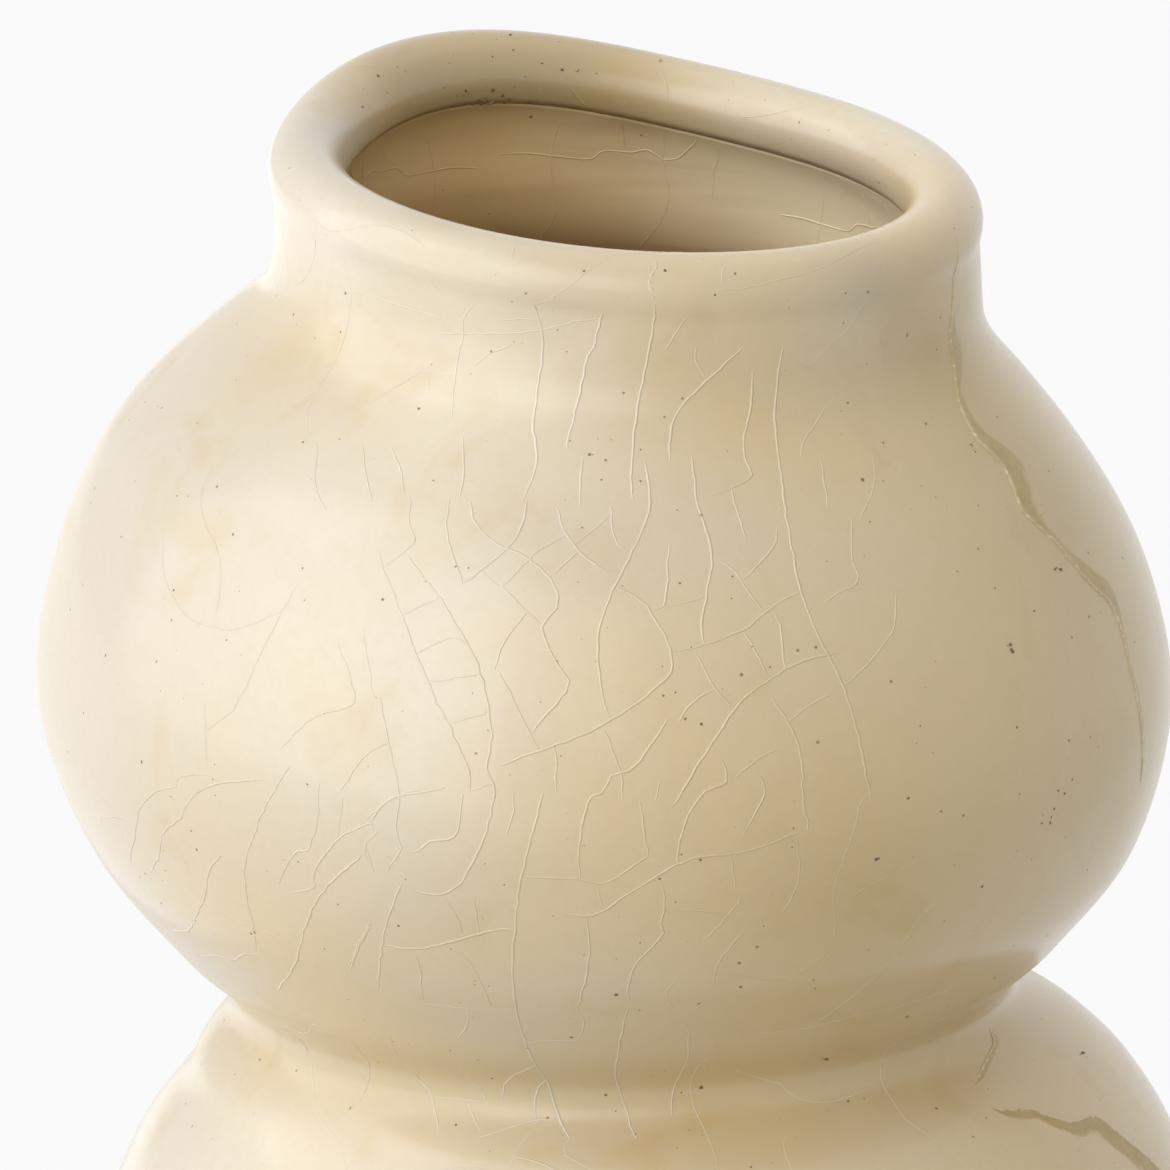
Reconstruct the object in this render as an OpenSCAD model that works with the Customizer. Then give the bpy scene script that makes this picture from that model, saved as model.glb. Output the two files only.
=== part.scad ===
// Double gourd vase with a rolled lip, hand thrown in sections and glazed.
// Millimetres, +Z up, origin at the centre of the foot on the table.
// The front of the vase looks along -Y and its right side along +X.

/* [Heights] */
// Height of the foot ring
foot_h = 5.5; // [3:0.5:10]
// Thickness of the floor
floor_t = 5; // [3:0.5:8]
// Height of the widest part of the lower bulb above the floor
lower_belly_h = 31.5; // [24:0.5:40]
// Height of the lower bulb, floor to waist
lower_h = 67.3; // [56:0.1:80]
// Height of the widest part of the upper bulb above the waist
upper_belly_h = 36.2; // [28:0.1:44]
// Height of the upper bulb, waist to neck
upper_h = 89.2; // [78:0.1:104]
// Height of the collar, neck to the middle of the lip roll
collar_h = 8.1; // [6:0.1:14]

/* [Widths] */
// Outer diameter of the foot ring
foot_d = 80; // [64:1:92]
// Diameter of the pot level with the top of its floor
floor_d = 98; // [94:1:112]
// Widest diameter of the lower bulb
lower_d = 136.5; // [124:0.5:150]
// Diameter of the waist
waist_d = 95; // [80:1:108]
// Widest diameter of the upper bulb
upper_d = 138; // [126:0.5:150]
// Diameter of the neck
neck_d = 84.8; // [72:0.1:96]
// Outer diameter of the lip
lip_d = 86; // [78:1:98]

/* [Walls] */
// Thickness of the clay wall
wall_t = 4.6; // [3.5:0.1:6]
// Thickness of the rolled lip with its glaze
lip_t = 9.4; // [8:0.1:12]
// Width of the foot ring
foot_w = 8; // [5:0.5:12]
// Rounding of the foot ring's edges
foot_round = 1.2; // [0.5:0.1:2]
// Height of the slip joint between two clay sections
slip_t = 1; // [0.6:0.1:1.6]
// Thickness of the outer glaze
glaze_t = 0.6; // [0.4:0.1:1]
// Thickness of the glaze inside
liner_t = 0.5; // [0.3:0.1:0.8]
// Height of bare clay left between the foot ring and the glaze
bare_h = 1.5; // [0.5:0.1:2.5]

/* [Hand made shape] */
// Sideways lean of the lower bulb, to the right
lower_lean = 3.5; // [-5:0.1:5]
// Sideways lean of the waist, to the right
waist_lean = -0.4; // [-3:0.1:3]
// Sideways lean of the upper bulb, to the left
upper_lean = 2.7; // [-5:0.1:5]
// Sideways lean of the neck, to the right
neck_lean = 0.6; // [-3:0.1:3]
// Dip of the waist towards its left side, in degrees
waist_tilt = 1.2; // [-3:0.1:3]
// Dip of the shoulder towards its right side, in degrees
shoulder_tilt = 3; // [0:0.1:6]
// Dip of the neck towards its right side, in degrees
neck_tilt = 4.9; // [0:0.1:7]
// Dip of the lip towards its right side, in degrees
lip_tilt = 4; // [0:0.1:7]
// Dip of the lip towards its front, in degrees
lip_nod = 3.5; // [0:0.1:7]
// Direction of the proud corner of the lip, in degrees round from the right side
corner_dir = 120; // [90:1:150]
// Width of the proud corner, in degrees
corner_spread = 36; // [25:1:50]
// How far the proud corner stands up
corner_lift = 3.8; // [0:0.1:5]
// How far the proud corner stands out
corner_push = 3.3; // [0:0.1:5]

/* [Glaze runs] */
// Direction of the glaze runs, in degrees round from the right side
run_dir = -28; // [-60:1:0]
// Width of a glaze run
run_w = 2.4; // [1.5:0.1:4]
// Height of a glaze run above the glaze
run_h = 0.8; // [0.4:0.1:1.2]

/* [Detail] */
// Number of flats round the pot
sides = 36; // [24:2:40]
// Number of rings between two points of the outline
ring_steps = 2; // [1:1:2]

/* [Hidden] */
$fn = 96;

// Clay and glaze colours
bare_clay = "#b79f86";
slip_clay = "#a88f74";
cream_glaze = "#ddcfb2";
liner_cream = "#c4ab7f";
olive_glaze = "#97835a";

// Heights above the table
floor_top = foot_h + floor_t;
lower_belly_z = floor_top + lower_belly_h;
waist_low_z = floor_top + lower_h;
waist_top_z = waist_low_z + slip_t;
upper_belly_z = waist_top_z + upper_belly_h;
neck_low_z = waist_top_z + upper_h;
neck_top_z = neck_low_z + slip_t;
roll_z = neck_top_z + collar_h;

// Radii
foot_r = foot_d / 2;
floor_r = floor_d / 2;
lower_r = lower_d / 2;
waist_r = waist_d / 2;
upper_r = upper_d / 2;
neck_r = neck_d / 2;
lip_r = lip_d / 2;
roll_r = lip_t / 2;
roll_mid = [lip_r - roll_r, roll_z];
roll_clay_r = roll_r - glaze_t;
inside_depth = glaze_t + wall_t;

// Points between the named sizes: shares of the way out and of the way up
lower_rise_shares = [[0.70, 0.43]];
lower_fall_shares = [[0.21, 0.45], [0.63, 0.78]];
upper_rise_shares = [[0.33, 0.21], [0.76, 0.53]];
upper_fall_shares = [[0.09, 0.30], [0.36, 0.58], [0.72, 0.78], [0.99, 0.90]];
collar_shares = [[0.2, 0.5]];

// Directions, in degrees, between which the lip is round
roll_start = -25;
roll_end = 215;
roll_steps = 8;

// Glaze runs: share of the pot's height and how far the run turns there, in degrees
run_turn_shares = [[0.30, -9], [0.40, -6], [0.47, 1], [0.62, 4.5], [0.73, 4], [0.80, -2], [0.86, -1],
                   [0.92, 6], [0.97, 6]];
// Lower run: shares of the lower and the upper bulb's rings where it starts and ends
lower_run_shares = [0.5, 0.07];
// Upper run: shares of the upper bulb's and the collar's rings where it starts and ends
upper_run_shares = [0.38, 0.3];
// Width, in degrees, over which the pot's flats turn along with a run
run_drag = 34;
// Share of a run's height that is left at its ends
run_tip_share = 0.25;

// Curves
function ease(t) = t * t * (3 - 2 * t);
function clamp(t) = max(0, min(1, t));
function blend(a, b, share) = a + (b - a) * share;
function between(a, b, shares) =
    [for (s = shares) [blend(a.x, b.x, s.x), blend(a.y, b.y, s.y)]];
function flip_up(p, about) = [p.x, 2 * about.y - p.y];

// One point of a rounded curve from b to c, with a and d as the neighbours
function curve_point(a, b, c, d, t) =
    let (ab = sqrt(norm(b - a)), bc = sqrt(norm(c - b)), cd = sqrt(norm(d - c)),
         leave = (c - b) + bc * ((b - a) / ab - (c - a) / (ab + bc)),
         arrive = (c - b) + bc * ((d - c) / cd - (d - b) / (bc + cd)))
    b + (c - b) * ease(t) + leave * (t * (1 - t) * (1 - t)) - arrive * (t * t * (1 - t));

// A rounded curve through points, whose first and last only steer it
function curve_through(points) =
    [for (i = [1:len(points) - 3], s = [0:ring_steps - 1])
        curve_point(points[i - 1], points[i], points[i + 1], points[i + 2], s / ring_steps),
     points[len(points) - 2]];

// Outline of the glazed pot, in three sections that meet at the slip joints
foot_edge = [foot_r, foot_h];
floor_edge = [floor_r, floor_top];
lower_belly = [lower_r, lower_belly_z];
waist_low = [waist_r, waist_low_z];
waist_top = [waist_r, waist_top_z];
upper_belly = [upper_r, upper_belly_z];
neck_low = [neck_r, neck_low_z];
neck_top = [neck_r, neck_top_z];
function roll_point(radius, angle) = roll_mid + radius * [cos(angle), sin(angle)];

lower_marks = concat([floor_edge], between(floor_edge, lower_belly, lower_rise_shares), [lower_belly],
                     between(lower_belly, waist_low, lower_fall_shares), [waist_low]);
upper_marks = concat([waist_top], between(waist_top, upper_belly, upper_rise_shares), [upper_belly],
                     between(upper_belly, neck_low, upper_fall_shares), [neck_low]);
collar_marks = concat([neck_top], between(neck_top, roll_point(roll_r, roll_start), collar_shares),
                      [roll_point(roll_r, roll_start)]);

function before_last(list) = list[len(list) - 2];
base_line = [foot_edge, blend(foot_edge, floor_edge, bare_h / floor_t)];
lower_line = curve_through(concat([foot_edge], lower_marks,
                                  [flip_up(before_last(lower_marks), waist_low)]));
upper_line = curve_through(concat([flip_up(upper_marks[1], waist_top)], upper_marks,
                                  [flip_up(before_last(upper_marks), neck_low)]));
collar_line = curve_through(concat([flip_up(collar_marks[1], neck_top)], collar_marks,
                                   [roll_point(roll_r, 0)]));
roll_line = [for (i = [1:roll_steps])
    roll_point(roll_r, blend(roll_start, roll_end, i / roll_steps))];
outline = concat(base_line, lower_line, upper_line, collar_line, roll_line);

// Where each section lies in the outline
lower_first = len(base_line);
lower_last = lower_first + len(lower_line) - 1;
upper_first = lower_last + 1;
upper_last = upper_first + len(upper_line) - 1;
collar_first = upper_last + 1;
collar_last = collar_first + len(collar_line) - 1;
roll_last = collar_last + roll_steps;

// The outline moved inwards by a depth, square to its surface
function outward(i) =
    let (from = outline[max(i - 1, 0)], to = outline[min(i + 1, roll_last)], along = to - from)
    [along.y, -along.x] / norm(along);
function face_at(i, depth) = outline[i] - depth * outward(i);

// Clay face under the outer glaze
function clay_face(i) = i > collar_last ? face_at(i, glaze_t)
    : i == collar_last ? roll_point(roll_clay_r, roll_start)
    : i == lower_first ? [floor_r - glaze_t / outward(i).x, floor_top]
    : i == 0 ? [foot_r - glaze_t, foot_h]
    : face_at(i, glaze_t);

// Inside faces: the clay at no extra depth, and the liner that much further in
ledge_z = roll_point(roll_r, roll_end).y - glaze_t;
function inside_ledge(extra) = [neck_r - inside_depth - extra, ledge_z - extra];
function inside_face(i, extra) =
    i >= collar_first
        ? let (start = [neck_r - inside_depth - extra, neck_top_z])
          blend(start, inside_ledge(extra), (i - collar_first) / (collar_last - collar_first))
    : i == lower_first ? [floor_r - (inside_depth + extra) / outward(i).x, floor_top + extra]
    : face_at(i, inside_depth + extra);

// The hand of the maker: how a turned shape leans, dips and stands proud
pot_h = roll_z + roll_r;
lower_hold_share = 0.67;
upper_hold_share = 0.55;
shoulder_share = 0.88;
neck_nod_share = 0.33;
lower_hold_z = blend(lower_belly_z, waist_low_z, lower_hold_share);
upper_hold_z = blend(upper_belly_z, neck_low_z, upper_hold_share);
shoulder_z = blend(upper_belly_z, neck_low_z, shoulder_share);
lean_levels = [[floor_top, 0], [lower_belly_z, lower_lean], [lower_hold_z, lower_lean],
               [waist_low_z, waist_lean], [upper_belly_z, -upper_lean],
               [upper_hold_z, -upper_lean], [neck_low_z, neck_lean], [roll_z, 0]];
side_levels = [[floor_top, 0], [lower_belly_z, 0], [waist_low_z, tan(waist_tilt)],
               [upper_belly_z, -tan(waist_tilt)], [shoulder_z, -tan(shoulder_tilt)],
               [neck_low_z, -tan(neck_tilt)], [roll_z, -tan(lip_tilt)]];
nod_levels = [[upper_belly_z, 0], [neck_low_z, neck_nod_share * tan(lip_nod)], [roll_z, tan(lip_nod)]];
turn_levels = [for (s = run_turn_shares) [s.x * pot_h, s.y]];

function at_level(z, levels, i = 0) =
    i == len(levels) - 1 || z < levels[0][0] ? levels[i][1]
    : z <= levels[i + 1][0]
        ? blend(levels[i][1], levels[i + 1][1],
                ease(clamp((z - levels[i][0]) / (levels[i + 1][0] - levels[i][0]))))
    : at_level(z, levels, i + 1);

function turned_from(angle, direction) = (angle - direction + 540) % 360 - 180;
function hump(distance, spread) = exp(-pow(distance / spread, 2));
corner_rise = neck_low_z - upper_belly_z;

function hand_made(p, angle) =
    let (rz = p.y,
         a = angle + at_level(rz, turn_levels) * hump(turned_from(angle, run_dir), run_drag),
         corner = hump(turned_from(a, corner_dir), corner_spread) * hump(rz - roll_z, corner_rise / 2),
         r = p.x * (1 + corner * corner_push / lip_r),
         x = r * cos(a),
         y = r * sin(a),
         grip = clamp((rz - floor_top) / lower_belly_h))
    [x + at_level(rz, lean_levels), y,
     rz + grip * (at_level(rz, side_levels) * x + at_level(rz, nod_levels) * y
                  + corner * corner_lift * p.x / lip_r)];

// Directions of the pot's flats, with a narrow pair along the glaze runs
flat_angle = 360 / sides;
run_half_angle = asin(run_w / upper_d);
flats = concat([run_dir, run_dir + run_half_angle],
               [for (i = [1:sides - 1]) run_dir + i * flat_angle],
               [run_dir - run_half_angle]);
flat_count = len(flats);

// Two triangles for a four-cornered patch, cut across its shorter way
function patch(points, a, b, c, d) =
    norm(points[a] - points[c]) < norm(points[b] - points[d])
        ? [[a, b, c], [a, c, d]] : [[a, b, d], [b, c, d]];

// A wall whose closed outline goes round the pot, given anticlockwise in the right half
module round_wall(loop) {
    n = len(loop);
    points = [for (p = loop, a = flats) hand_made(p, a)];
    faces = [for (i = [0:n - 1], j = [0:flat_count - 1])
        let (up = (i + 1) % n, next = (j + 1) % flat_count)
        each patch(points, i * flat_count + j, up * flat_count + j,
                   up * flat_count + next, i * flat_count + next)];
    polyhedron(points, faces);
}

// A closed body whose outline starts and ends on the pot's axis
module round_body(line, low, high) {
    n = len(line);
    rings = [for (p = line, a = flats) hand_made(p, a)];
    points = concat(rings, [[0, 0, low], [0, 0, high]]);
    low_tip = n * flat_count;
    high_tip = low_tip + 1;
    top = (n - 1) * flat_count;
    faces = [for (j = [0:flat_count - 1]) let (next = (j + 1) % flat_count) each concat(
        [[low_tip, j, next]],
        [for (i = [0:n - 2]) each patch(points, i * flat_count + j, (i + 1) * flat_count + j,
                                        (i + 1) * flat_count + next, i * flat_count + next)],
        [[high_tip, top + next, top + j]])];
    polyhedron(points, faces);
}

function outer_faces(first, last) = [for (i = [first:last]) clay_face(i)];
function inner_faces(first, last, extra = 0) = [for (i = [last:-1:first]) inside_face(i, extra)];
module clay_section(first, last) round_wall(concat(outer_faces(first, last), inner_faces(first, last)));

module foot_ring() {
    outer = clay_face(0).x;
    inner = outer - foot_w;
    color(bare_clay)
        rotate_extrude()
            polygon([[inner, foot_h], [inner, foot_round], [inner + foot_round, 0],
                     [outer - foot_round, 0], [outer, foot_round], [outer, foot_h]]);
}

module floor_slab() {
    color(bare_clay) round_body(outer_faces(0, lower_first), foot_h, floor_top);
}

module lower_bulb() {
    color(bare_clay) clay_section(lower_first, lower_last);
}

module waist_slip() {
    color(slip_clay) clay_section(lower_last, upper_first);
}

module upper_bulb() {
    color(bare_clay) clay_section(upper_first, upper_last);
}

module neck_slip() {
    color(slip_clay) clay_section(upper_last, collar_first);
}

module collar() {
    color(bare_clay) clay_section(collar_first, collar_last);
}

module lip_roll() {
    color(bare_clay) round_wall(concat(outer_faces(collar_last, roll_last), [inside_ledge(0)]));
}

module outer_glaze() {
    color(cream_glaze)
        round_wall(concat([for (i = [1:roll_last]) outline[i]],
                          [for (i = [roll_last:-1:1]) clay_face(i)]));
}

module liner_glaze() {
    clay_side = [for (i = [lower_first:collar_last]) inside_face(i, 0)];
    air_side = [for (i = [collar_last:-1:lower_first]) inside_face(i, liner_t)];
    color(liner_cream)
        round_body(concat(clay_side, [clay_face(roll_last), outline[roll_last]], air_side),
                   floor_top, floor_top + liner_t);
}

// A glaze run lies on the narrow pair of flats, from one ring of the outline to another
module glaze_run(first, last) {
    lying = [for (i = [first:last], a = [flats[flat_count - 1], flats[0], flats[1]])
        hand_made(outline[i], a)];
    crest = [for (i = [first:last])
        let (swell = i == first || i == last ? run_tip_share : 1)
        hand_made(outline[i] + swell * run_h * outward(i), flats[0])];
    points = concat(lying, crest);
    n = last - first + 1;
    top = 3 * n;
    sides_up = [for (i = [0:n - 2]) let (at = 3 * i, up = at + 3) each concat(
        patch(points, at, at + 1, up + 1, up),
        patch(points, at + 1, at + 2, up + 2, up + 1),
        patch(points, at, up, top + i + 1, top + i),
        patch(points, at + 2, top + i, top + i + 1, up + 2))];
    end = 3 * (n - 1);
    tips = [[0, top, 1], [1, top, 2], [end, end + 1, top + n - 1], [end + 1, end + 2, top + n - 1]];
    polyhedron(points, concat(sides_up, tips));
}

function ring_at(first, last, share) = round(blend(first, last, share));

module glaze_runs() {
    color(olive_glaze) {
        glaze_run(ring_at(lower_first, lower_last, lower_run_shares[0]),
                  ring_at(upper_first, upper_last, lower_run_shares[1]));
        glaze_run(ring_at(upper_first, upper_last, upper_run_shares[0]),
                  ring_at(collar_first, collar_last, upper_run_shares[1]));
    }
}

foot_ring();
floor_slab();
lower_bulb();
waist_slip();
upper_bulb();
neck_slip();
collar();
lip_roll();
outer_glaze();
liner_glaze();
glaze_runs();
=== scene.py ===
import bpy
import itertools
import math
import random
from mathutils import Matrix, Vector


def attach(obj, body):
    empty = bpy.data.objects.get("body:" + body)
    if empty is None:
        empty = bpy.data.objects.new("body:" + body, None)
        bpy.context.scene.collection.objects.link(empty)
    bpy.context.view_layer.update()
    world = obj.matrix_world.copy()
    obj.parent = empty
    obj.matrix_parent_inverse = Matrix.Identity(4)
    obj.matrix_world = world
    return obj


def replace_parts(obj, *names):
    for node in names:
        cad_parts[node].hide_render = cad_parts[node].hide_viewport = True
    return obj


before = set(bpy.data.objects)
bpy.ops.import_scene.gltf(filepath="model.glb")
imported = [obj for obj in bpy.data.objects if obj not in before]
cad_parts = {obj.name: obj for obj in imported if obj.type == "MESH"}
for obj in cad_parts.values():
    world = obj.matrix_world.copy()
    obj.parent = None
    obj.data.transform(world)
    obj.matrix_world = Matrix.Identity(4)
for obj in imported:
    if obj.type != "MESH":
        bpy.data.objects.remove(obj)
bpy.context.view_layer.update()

mm = 0.001


# node trees written as sums

class Wire:
    # one output socket; sums on it add Math nodes
    def __init__(self, net, socket):
        self.net, self.socket = net, socket

    def math(self, operation, *others):
        return self.net.add("ShaderNodeMath", {"operation": operation}, dict(enumerate((self,) + others)))

    def __add__(self, other):
        return self.math("ADD", other)

    def __sub__(self, other):
        return self.math("SUBTRACT", other)

    def __mul__(self, other):
        return self.math("MULTIPLY", other)

    def __truediv__(self, other):
        return self.math("DIVIDE", other)

    def __mod__(self, other):
        return self.math("FLOORED_MODULO", other)

    def __lt__(self, other):
        return self.math("LESS_THAN", other)

    def __neg__(self):
        return self * -1

    def __rsub__(self, other):
        return self.net.number(other).math("SUBTRACT", self)

    def __rtruediv__(self, other):
        return self.net.number(other).math("DIVIDE", self)

    __radd__, __rmul__ = __add__, __mul__

    def out(self, name):
        return Wire(self.net, next(s for s in self.socket.node.outputs if s.enabled and s.name == name))

    def parts(self):
        split = self.net.add("ShaderNodeSeparateXYZ", {}, {0: self})
        return [split.out(axis) for axis in "XYZ"]

    def plus(self, other):
        return self.net.add("ShaderNodeVectorMath", {"operation": "ADD"}, {0: self, 1: other})

    def times(self, size):
        return self.net.add("ShaderNodeVectorMath", {"operation": "SCALE"}, {0: self, "Scale": size})

    def eased(self, low, high, start=0.0, end=1.0):
        return self.net.add("ShaderNodeMapRange", {"interpolation_type": "SMOOTHSTEP"},
                            {"Value": self, "From Min": low, "From Max": high,
                             "To Min": start, "To Max": end})


class Net:
    # a node tree, shader or geometry, that grows one node at a time
    def __init__(self, tree):
        self.tree = tree

    def add(self, kind, settings=None, inputs=None):
        node = self.tree.nodes.new(kind)
        for key, value in (settings or {}).items():
            if key == "stops":
                ramp = node.color_ramp
                while len(ramp.elements) < len(value):
                    ramp.elements.new(1.0)
                for element, (place, colour) in zip(ramp.elements, value):
                    element.position, element.color = place, tuple(colour) + (1.0,)
            else:
                setattr(node, key, value)
        for key, value in (inputs or {}).items():
            socket = node.inputs[key] if isinstance(key, int) else \
                next(s for s in node.inputs if s.enabled and s.name == key)
            self.feed(socket, value)
        return Wire(self, next((s for s in node.outputs if s.enabled), None))

    def feed(self, socket, value):
        if isinstance(value, Wire):
            self.tree.links.new(value.socket, socket)
        elif socket.type == "RGBA" and len(value) == 3:
            socket.default_value = tuple(value) + (1.0,)
        else:
            socket.default_value = value

    def number(self, value):
        return self.add("ShaderNodeMath", {"operation": "ADD"}, {0: value, 1: 0.0})

    def vector(self, x, y, z):
        return self.add("ShaderNodeCombineXYZ", {}, {"X": x, "Y": y, "Z": z})

    def tint(self, share, low, high, blend="MIX"):
        return self.add("ShaderNodeMix", {"data_type": "RGBA", "blend_type": blend},
                        {"Factor": share, "A": low, "B": high})

    def noise(self, place, size, detail=2.0, rough=0.5, warp=0.0):
        return self.add("ShaderNodeTexNoise", {}, {"Vector": place, "Scale": 1.0 / size, "Detail": detail,
                                                   "Roughness": rough, "Distortion": warp})

    def bump(self, height, strength, distance):
        return self.add("ShaderNodeBump", {}, {"Strength": strength, "Distance": distance, "Height": height})

    def mark(self, name):
        # a value that the mesh carries, in a shader
        return self.add("ShaderNodeAttribute", {"attribute_name": name}).out("Fac")

    def named(self, name, kind="FLOAT_VECTOR"):
        # a value that the mesh carries, in a geometry tree
        return self.add("GeometryNodeInputNamedAttribute", {"data_type": kind}, {"Name": name})


class ShapeTree(Net):
    # a geometry tree with named inputs; close() ends it in Realize Instances and Set Material
    def __init__(self, name, inputs):
        super().__init__(bpy.data.node_groups.new(name, "GeometryNodeTree"))
        face = self.tree.interface
        self.keys = {}
        for label, kind in {"Shape": "Geometry", **inputs, "Finish": "Material"}.items():
            socket = face.new_socket(label, in_out="INPUT", socket_type="NodeSocket" + kind)
            self.keys[label] = socket.identifier
        face.new_socket("Shape", in_out="OUTPUT", socket_type="NodeSocketGeometry")
        self.given = self.add("NodeGroupInput")

    def __getitem__(self, label):
        return self.given.out(label)

    def sheet(self, line):
        # a sheet with a row for each point of a line, and the row and column of each of its points
        rows = self.add("GeometryNodeAttributeDomainSize", {"component": "MESH"}, {"Geometry": line})
        grid = self.add("GeometryNodeMeshGrid", {}, {"Size X": 1.0, "Size Y": 1.0,
                                                     "Vertices X": self["Columns"] + 1, "Vertices Y": rows})
        index = self.add("GeometryNodeInputIndex")
        return grid, index % rows, (index / rows).math("FLOOR")

    def pointOf(self, line, value, row):
        return self.add("GeometryNodeSampleIndex", {"data_type": "FLOAT_VECTOR"},
                        {"Geometry": line, "Value": value, "Index": row})

    def noiseAlong(self, along, scale, detail):
        return self.add("ShaderNodeTexNoise", {"noise_dimensions": "1D"},
                        {"W": along, "Scale": scale, "Detail": detail})

    def store(self, shape, name, value, kind="FLOAT", domain="POINT"):
        return self.add("GeometryNodeStoreNamedAttribute", {"data_type": kind, "domain": domain},
                        {"Geometry": shape, "Name": name, "Value": value})

    def weld(self, shape):
        return self.add("GeometryNodeMergeByDistance", {}, {"Geometry": shape, "Distance": 1e-6})

    def close(self, shape):
        smooth = self.add("GeometryNodeSetShadeSmooth", {}, {"Geometry": shape})
        real = self.add("GeometryNodeRealizeInstances", {}, {"Geometry": smooth})
        dressed = self.add("GeometryNodeSetMaterial", {}, {"Geometry": real, "Material": self["Finish"]})
        self.add("NodeGroupOutput", {}, {"Shape": dressed})

    def build(self, name, mesh, values):
        piece = bpy.data.objects.new(name, mesh)
        bpy.context.scene.collection.objects.link(piece)
        modifier = piece.modifiers.new("shape", "NODES")
        modifier.node_group = self.tree
        for label, value in values.items():
            modifier[self.keys[label]] = value
        evaluated = piece.evaluated_get(bpy.context.evaluated_depsgraph_get())
        made = bpy.data.meshes.new_from_object(evaluated)
        piece.modifiers.clear()
        piece.data = made
        made.name = name
        print(name, "has", len(made.polygons), "faces")
        return piece


def lineMesh(name, points, edges, marks):
    # a mesh of points and edges, each point with its named marks
    mesh = bpy.data.meshes.new(name)
    mesh.from_pydata(points, edges, [])
    for mark, values in marks.items():
        vector = isinstance(values[0], (tuple, list))
        layer = mesh.attributes.new(mark, "FLOAT_VECTOR" if vector else "FLOAT", "POINT")
        flat = [part for value in values for part in value] if vector else values
        layer.data.foreach_set("vector" if vector else "value", flat)
    return mesh


# the pot's outline and its hand made lean, in millimetres and degrees

pot = {
    "footTop": 5.5, "floorTop": 10.5, "lowerBelly": 42.0, "waistLow": 77.8, "waistTop": 78.8,
    "upperBelly": 115.0, "neckLow": 168.0, "neckTop": 169.0, "rollHeight": 177.1,
    "footRadius": 40.0, "floorRadius": 49.0, "lowerRadius": 68.25, "waistRadius": 47.5,
    "upperRadius": 69.0, "neckRadius": 42.4, "lipRadius": 43.0, "rollRadius": 4.7,
    "glaze": 0.6, "wall": 4.6, "liner": 0.5, "bareStrip": 1.5,
    "lowerRise": [(0.70, 0.43)], "lowerFall": [(0.21, 0.45), (0.63, 0.78)],
    "upperRise": [(0.33, 0.21), (0.76, 0.53)],
    "upperFall": [(0.09, 0.30), (0.36, 0.58), (0.72, 0.78), (0.99, 0.90)], "collar": [(0.2, 0.5)],
    "rollStart": -25, "rollEnd": 215, "rollSteps": 48,
    "lowerLean": 3.5, "waistLean": -0.4, "upperLean": 2.7, "waistTilt": 1.2, "shoulderTilt": 3.0,
    "neckLean": 0.35, "neckTilt": 4.9, "lipTilt": 4.0, "lipNod": 3.5, "cornerWay": 120, "cornerSpread": 36,
    "cornerLift": 3.7, "cornerPush": 3.3, "columns": 256, "ringGap": 0.9, "inset": 0.1, "poolRise": 0.36,
    "neckFill": (152.0, 174.0, 28), "lowerHold": 0.67, "upperHold": 0.55, "shoulder": 0.88, "nodAtNeck": 0.33,
    "dentDepth": 0.22, "dentSize": 34.0, "dentFade": 20.0, "seed": 7,
}


def blend(a, b, share):
    return a + (b - a) * share


def ease(t):
    return t * t * (3 - 2 * t)


def clamp(t):
    return max(0.0, min(1.0, t))


def tanDegrees(angle):
    return math.tan(math.radians(angle))


def hump(distance, spread):
    return math.exp(-(distance / spread) ** 2)


def between(a, b, shares):
    return [Vector((blend(a.x, b.x, x), blend(a.y, b.y, y))) for x, y in shares]


def flipUp(p, about):
    return Vector((p.x, 2 * about.y - p.y))


def curvePoint(a, b, c, d, t):
    ab, bc, cd = (math.sqrt(math.dist(p, q)) for p, q in ((a, b), (b, c), (c, d)))
    leave = (c - b) + bc * ((b - a) / ab - (c - a) / (ab + bc))
    arrive = (c - b) + bc * ((d - c) / cd - (d - b) / (bc + cd))
    return b + (c - b) * ease(t) + leave * (t * (1 - t) ** 2) - arrive * (t * t * (1 - t))


def curveThrough(points, steps=24):
    line = [curvePoint(*points[i - 1:i + 3], step / steps)
            for i in range(1, len(points) - 2) for step in range(steps)]
    return line + [points[-2]]


def rollPoint(radius, angle):
    turn = math.radians(angle)
    return Vector((pot["lipRadius"] - pot["rollRadius"] + radius * math.cos(turn),
                   pot["rollHeight"] + radius * math.sin(turn)))


footEdge = Vector((pot["footRadius"], pot["footTop"]))
floorEdge = Vector((pot["floorRadius"], pot["floorTop"]))
lowerBelly = Vector((pot["lowerRadius"], pot["lowerBelly"]))
waistLow = Vector((pot["waistRadius"], pot["waistLow"]))
waistTop = Vector((pot["waistRadius"], pot["waistTop"]))
upperBelly = Vector((pot["upperRadius"], pot["upperBelly"]))
neckLow = Vector((pot["neckRadius"], pot["neckLow"]))
neckTop = Vector((pot["neckRadius"], pot["neckTop"]))
rollFoot = rollPoint(pot["rollRadius"], pot["rollStart"])
bareTop = footEdge.lerp(floorEdge, pot["bareStrip"] / (pot["floorTop"] - pot["footTop"]))

lowerMarks = [floorEdge] + between(floorEdge, lowerBelly, pot["lowerRise"]) + [lowerBelly] \
    + between(lowerBelly, waistLow, pot["lowerFall"]) + [waistLow]
upperMarks = [waistTop] + between(waistTop, upperBelly, pot["upperRise"]) + [upperBelly] \
    + between(upperBelly, neckLow, pot["upperFall"]) + [neckLow]
collarMarks = [neckTop] + between(neckTop, rollFoot, pot["collar"]) + [rollFoot]

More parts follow.
